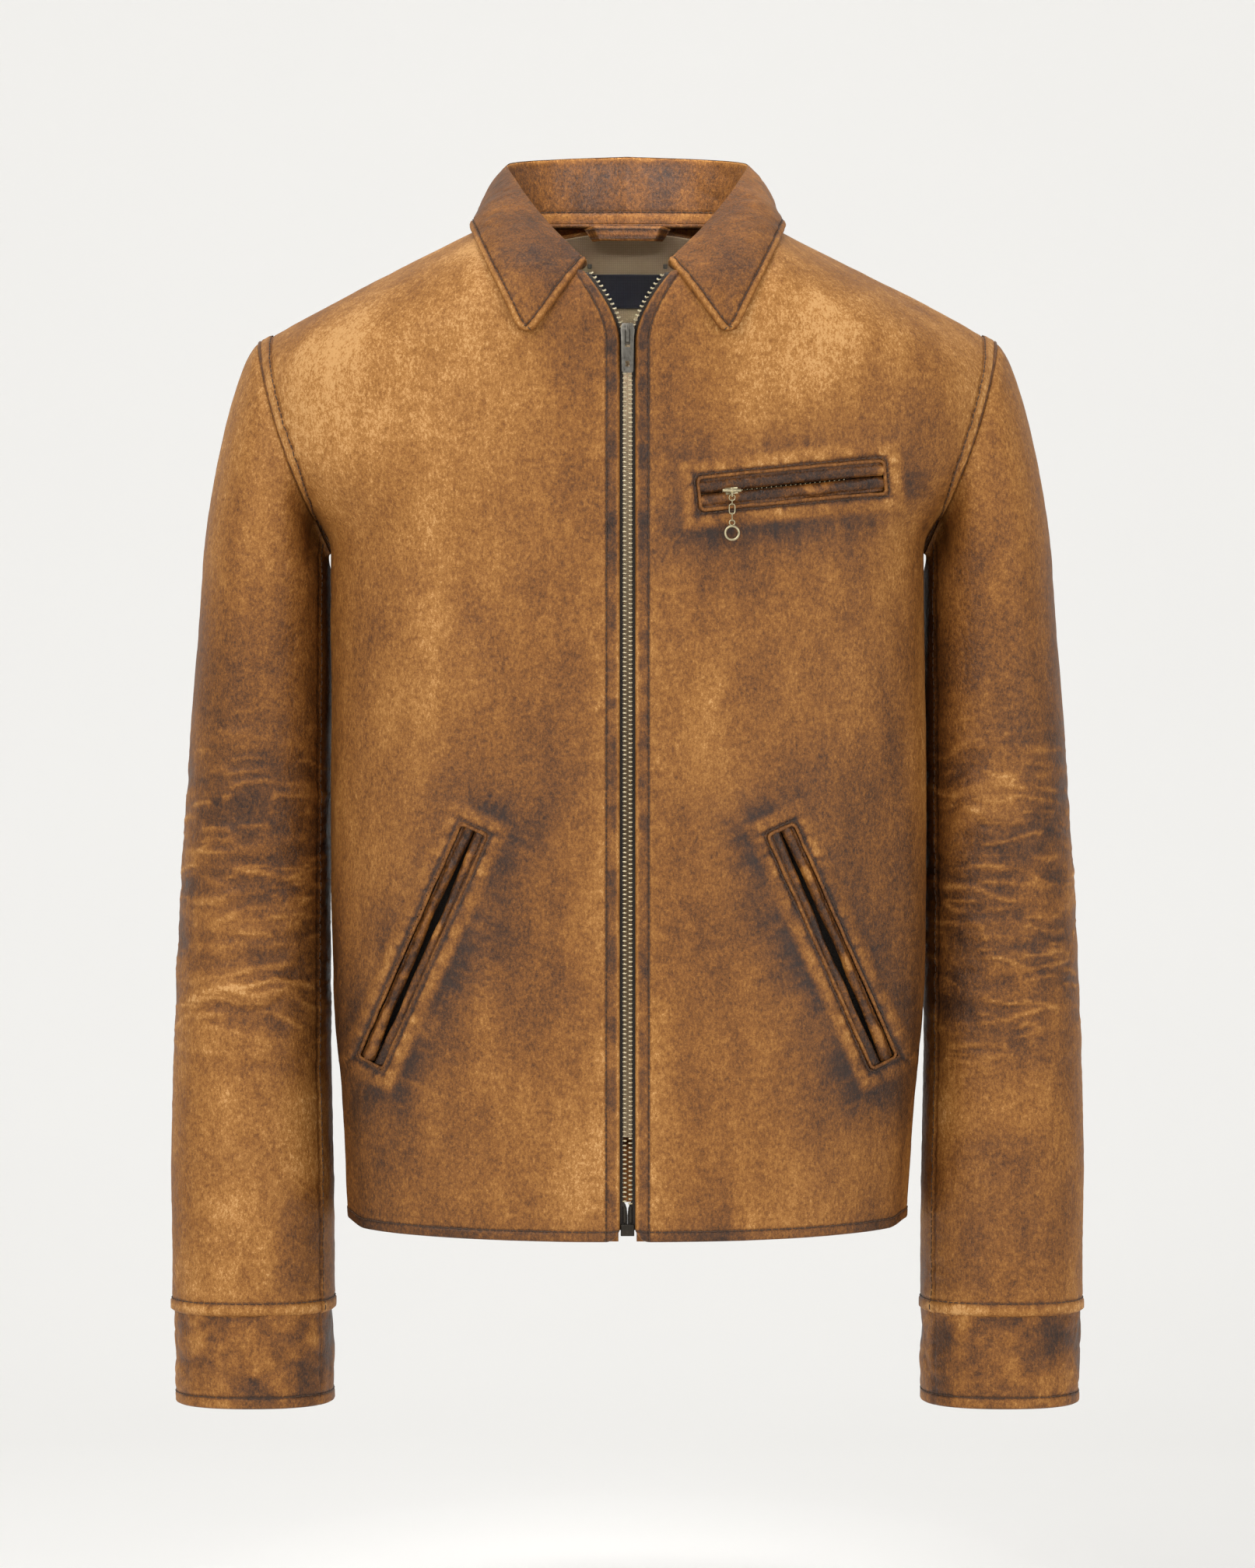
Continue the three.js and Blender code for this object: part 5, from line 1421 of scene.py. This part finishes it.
def build_sliders():
    stop_box("zip_slider", "front_zip_slider", GUNMETAL, 0.3)
    stop_box("zip_puller", "front_zip_puller", GUNMETAL, 0.32)
    stop_box("chest_zip_slider", "chest_zip_slider", BRASS, 0.16)
    build_chest_teeth()
    build_chain()


def build_chest_teeth():
    start = CHEST.on_skin(0.0, -37.0)[0]
    stop = CHEST.on_skin(0.0, 29.0)[0]
    travel = unit(stop - start)
    inward = unit(np.array([0, 1, 0]) - travel * travel[1])
    upward = np.cross(travel, inward)
    parts = []
    for k, s in enumerate(np.arange(-6, 72, 1.5)):
        row = 1 if k % 2 else -1
        centre = start + travel * s + inward * 6.0 + upward * row * 0.5
        parts.append(bead(centre, (1.1, 1.6, 2.4)))
    piece("chest_teeth", *gathered(parts), BRASS, "jacket_body", ["chest_zip_teeth"], "brass")
    s, u = np.meshgrid(np.linspace(-9, 75, 80), np.linspace(-7.5, 7.5, 12))
    front = (start + travel * s[..., None] + upward * u[..., None] + inward
             * (6.9 + 0.1 * np.sin(u * 5))[..., None])
    points, quads = closed_layer(front, front + inward * 0.6)
    piece("chest_tape", points, quads, TAPE, "jacket_body", ["chest_zip_tape"], "zip_tape")


def oval(low, high, half_width, wire, edge_on):
    """A closed wire link between two heights."""
    t = np.linspace(0, 2 * np.pi, 48, endpoint=False)
    half = (high - low) / 2 - wire
    straight = max(0, half - half_width)
    across_link = half_width * np.sin(t)
    up = half_width * np.cos(t) + straight * np.clip(np.cos(t) * 6, -1, 1)
    flat = np.stack([across_link * 0, across_link, up] if edge_on else [across_link, across_link * 0, up],
                    -1)
    return flat, (1, 0, 0) if edge_on else (0, 1, 0)


def build_chain():
    """The links, eye and ring that hang from the chest zip's slider."""
    links = (("pull_split_ring", False), ("pull_link_upper", True), ("pull_link_oval", False),
             ("pull_link_lower", True))
    for node, edge_on in links:
        low, high = cad_corners(node)
        centre = (low + high) / 2
        width = (high - low)[1 if edge_on else 0] / 2
        wire = (high - low)[0 if edge_on else 1] / 2
        path, normal = oval(low[2], high[2], width - wire, wire, edge_on)
        points, quads = tube(path + centre, wire, 12, closed=True, normal=normal)
        piece(f"{node}_wire", points, quads, BRASS, node, [node], "brass")
    low, high = cad_corners("pull_tag_ring")
    centre = (low + high) / 2
    t = np.linspace(0, 2 * np.pi, 64, endpoint=False)
    radius = (high[0] - low[0]) / 2 - 0.75
    ring_z = low[2] + 0.75 + radius
    ring = xyz(radius * np.sin(t), 0, radius * np.cos(t)) + np.array([centre[0], centre[1], ring_z])
    eye_top = high[2]
    eye = xyz(1.6 * np.sin(t), 0, 1.6 * np.cos(t)) + np.array([centre[0], centre[1], eye_top - 2.0])
    parts = [tube(ring, 0.74, 14, closed=True, normal=(0, 1, 0)),
             tube(eye, 0.4, 10, closed=True, normal=(0, 1, 0))]
    piece("pull_ring_wire", *gathered(parts), BRASS, "pull_tag_ring", ["pull_tag_ring"], "brass")


# ---------- Pocket bags ----------


def bag(name, node, across_x, up_z, front, back):
    """A flat layer of near-black cloth, which paints the shade seen through a pocket's slit, between two
    depths inside the front.
    """
    x, z = np.meshgrid(across_x, up_z)
    centre = on_body(x, z)
    normals = outer_normals(centre, (0, -20.0, np.mean(up_z)))
    points, quads = closed_layer(centre - normals * front, centre - normals * back)
    piece(name, points, quads, SHADE_DARK_BAG_CLOTH, "jacket_body", [node], "lining")


def build_bags():
    for side, sign in SIDES:
        bag(f"pocket_bag_{side}", f"hand_pocket_bag_{side}", np.linspace(64, 164, 40) * sign,
            np.linspace(-550, -362, 60), 15.5, 16.7)
    bag("chest_bag", "chest_pocket_bag", np.linspace(64, 152, 30), np.linspace(-290, -152, 40), 9.6, 11)


# ---------- The stage ----------


def build_stage():
    """A pale floor that curves up into the backdrop."""
    m = Nodes("studio_paper")
    speck = m.noise(m.add("ShaderNodeTexCoord").outputs["Object"], 3, 2, 0.5)
    m.principled(Base_Color=m.ramp(speck, [(0.0, linear("F5F4F2")), (1.0, linear("F7F6F4"))]),
                 Roughness=0.95, Specular_IOR_Level=0.1)
    floor_z = cad_box[0][2] - 0.25
    angle = np.linspace(0, np.pi / 2, 24)
    radius, back = 1.6, 1.6
    profile = ([(-4.5, floor_z)]
               + [(back + radius * math.sin(a), floor_z + radius * (1 - math.cos(a))) for a in angle])
    profile.append((back + radius, 4.5))
    width = 7.0
    points = np.array([[(x, y, z) for x in (-width, width)] for y, z in profile])
    floor = piece("studio_floor", points * 1000 + ORIGIN, quads_of(len(profile), 2), m.material)


def area_light(name, location, target, size, power):
    light = bpy.data.lights.new(name, "AREA")
    light.shape = "RECTANGLE"
    light.size, light.size_y = size
    light.energy = power
    obj = bpy.data.objects.new(name, light)
    bpy.context.scene.collection.objects.link(obj)
    obj.location = location
    obj.rotation_euler = (Vector(target) - Vector(location)).to_track_quat("-Z", "Y").to_euler()
    return light


def build_lights():
    middle = (0, -0.05, -0.34)
    area_light("key_light", (-1.5, -2.4, 1.3), middle, (1.6, 1.6), 46)
    area_light("fill_light", (1.9, -2.2, 0.4), middle, (1.8, 2.0), 24)
    area_light("top_light", (0, -0.2, 2.2), middle, (2.0, 1.4), 22)
    area_light("low_light", (0, -2.6, -1.0), middle, (2.0, 0.8), 6)
    neck = area_light("neck_light", (0, -0.55, 0.75), (0, 0.04, -0.03), (0.1, 0.06), 0.12)
    neck.spread = math.radians(20)
    beam = area_light("lining_light", (0, -1.0, 0.2), (0, 0.04, -0.045), (0.06, 0.04), 0.012)
    beam.spread = math.radians(8)
    world = bpy.data.worlds.new("studio")
    bpy.context.scene.world = world
    world.use_nodes = True
    background = world.node_tree.nodes["Background"]
    background.inputs["Color"].default_value = (0.95, 0.95, 0.94, 1)
    background.inputs["Strength"].default_value = 0.68


def build_camera():
    low, high = cad_box
    distance, view_height = 3.0, 0.984  # metres
    data = bpy.data.cameras.new("camera")
    data.sensor_width = 36
    data.lens = 36 * distance / view_height
    camera = bpy.data.objects.new("camera", data)
    bpy.context.scene.collection.objects.link(camera)
    camera.location = (0, -0.05 - distance, (low[2] + high[2]) / 2 - 0.0085)
    camera.rotation_euler = (math.pi / 2, 0, 0)
    bpy.context.scene.camera = camera
    bpy.context.scene.view_settings.view_transform = "Standard"


build_camera()
build_stage()
build_lights()
build_front("left", 1)
build_front("right", -1)
build_back()
build_linings()
for side_name, side_sign in SIDES:
    build_sleeve(side_name, side_sign)
    build_pocket(HAND[side_sign], f"hand_pocket_{side_name}",
                 (f"hand_pocket_front_welt_{side_name}", f"hand_pocket_back_welt_{side_name}"), 400
                 + side_sign)
build_pocket(CHEST, "chest_pocket", ("chest_pocket_upper_welt", "chest_pocket_lower_welt"), 500)
build_bags()
build_collar()
build_loop()
build_label()
build_front_zip()
build_sliders()
stitching("body_stitching", body_stitches)
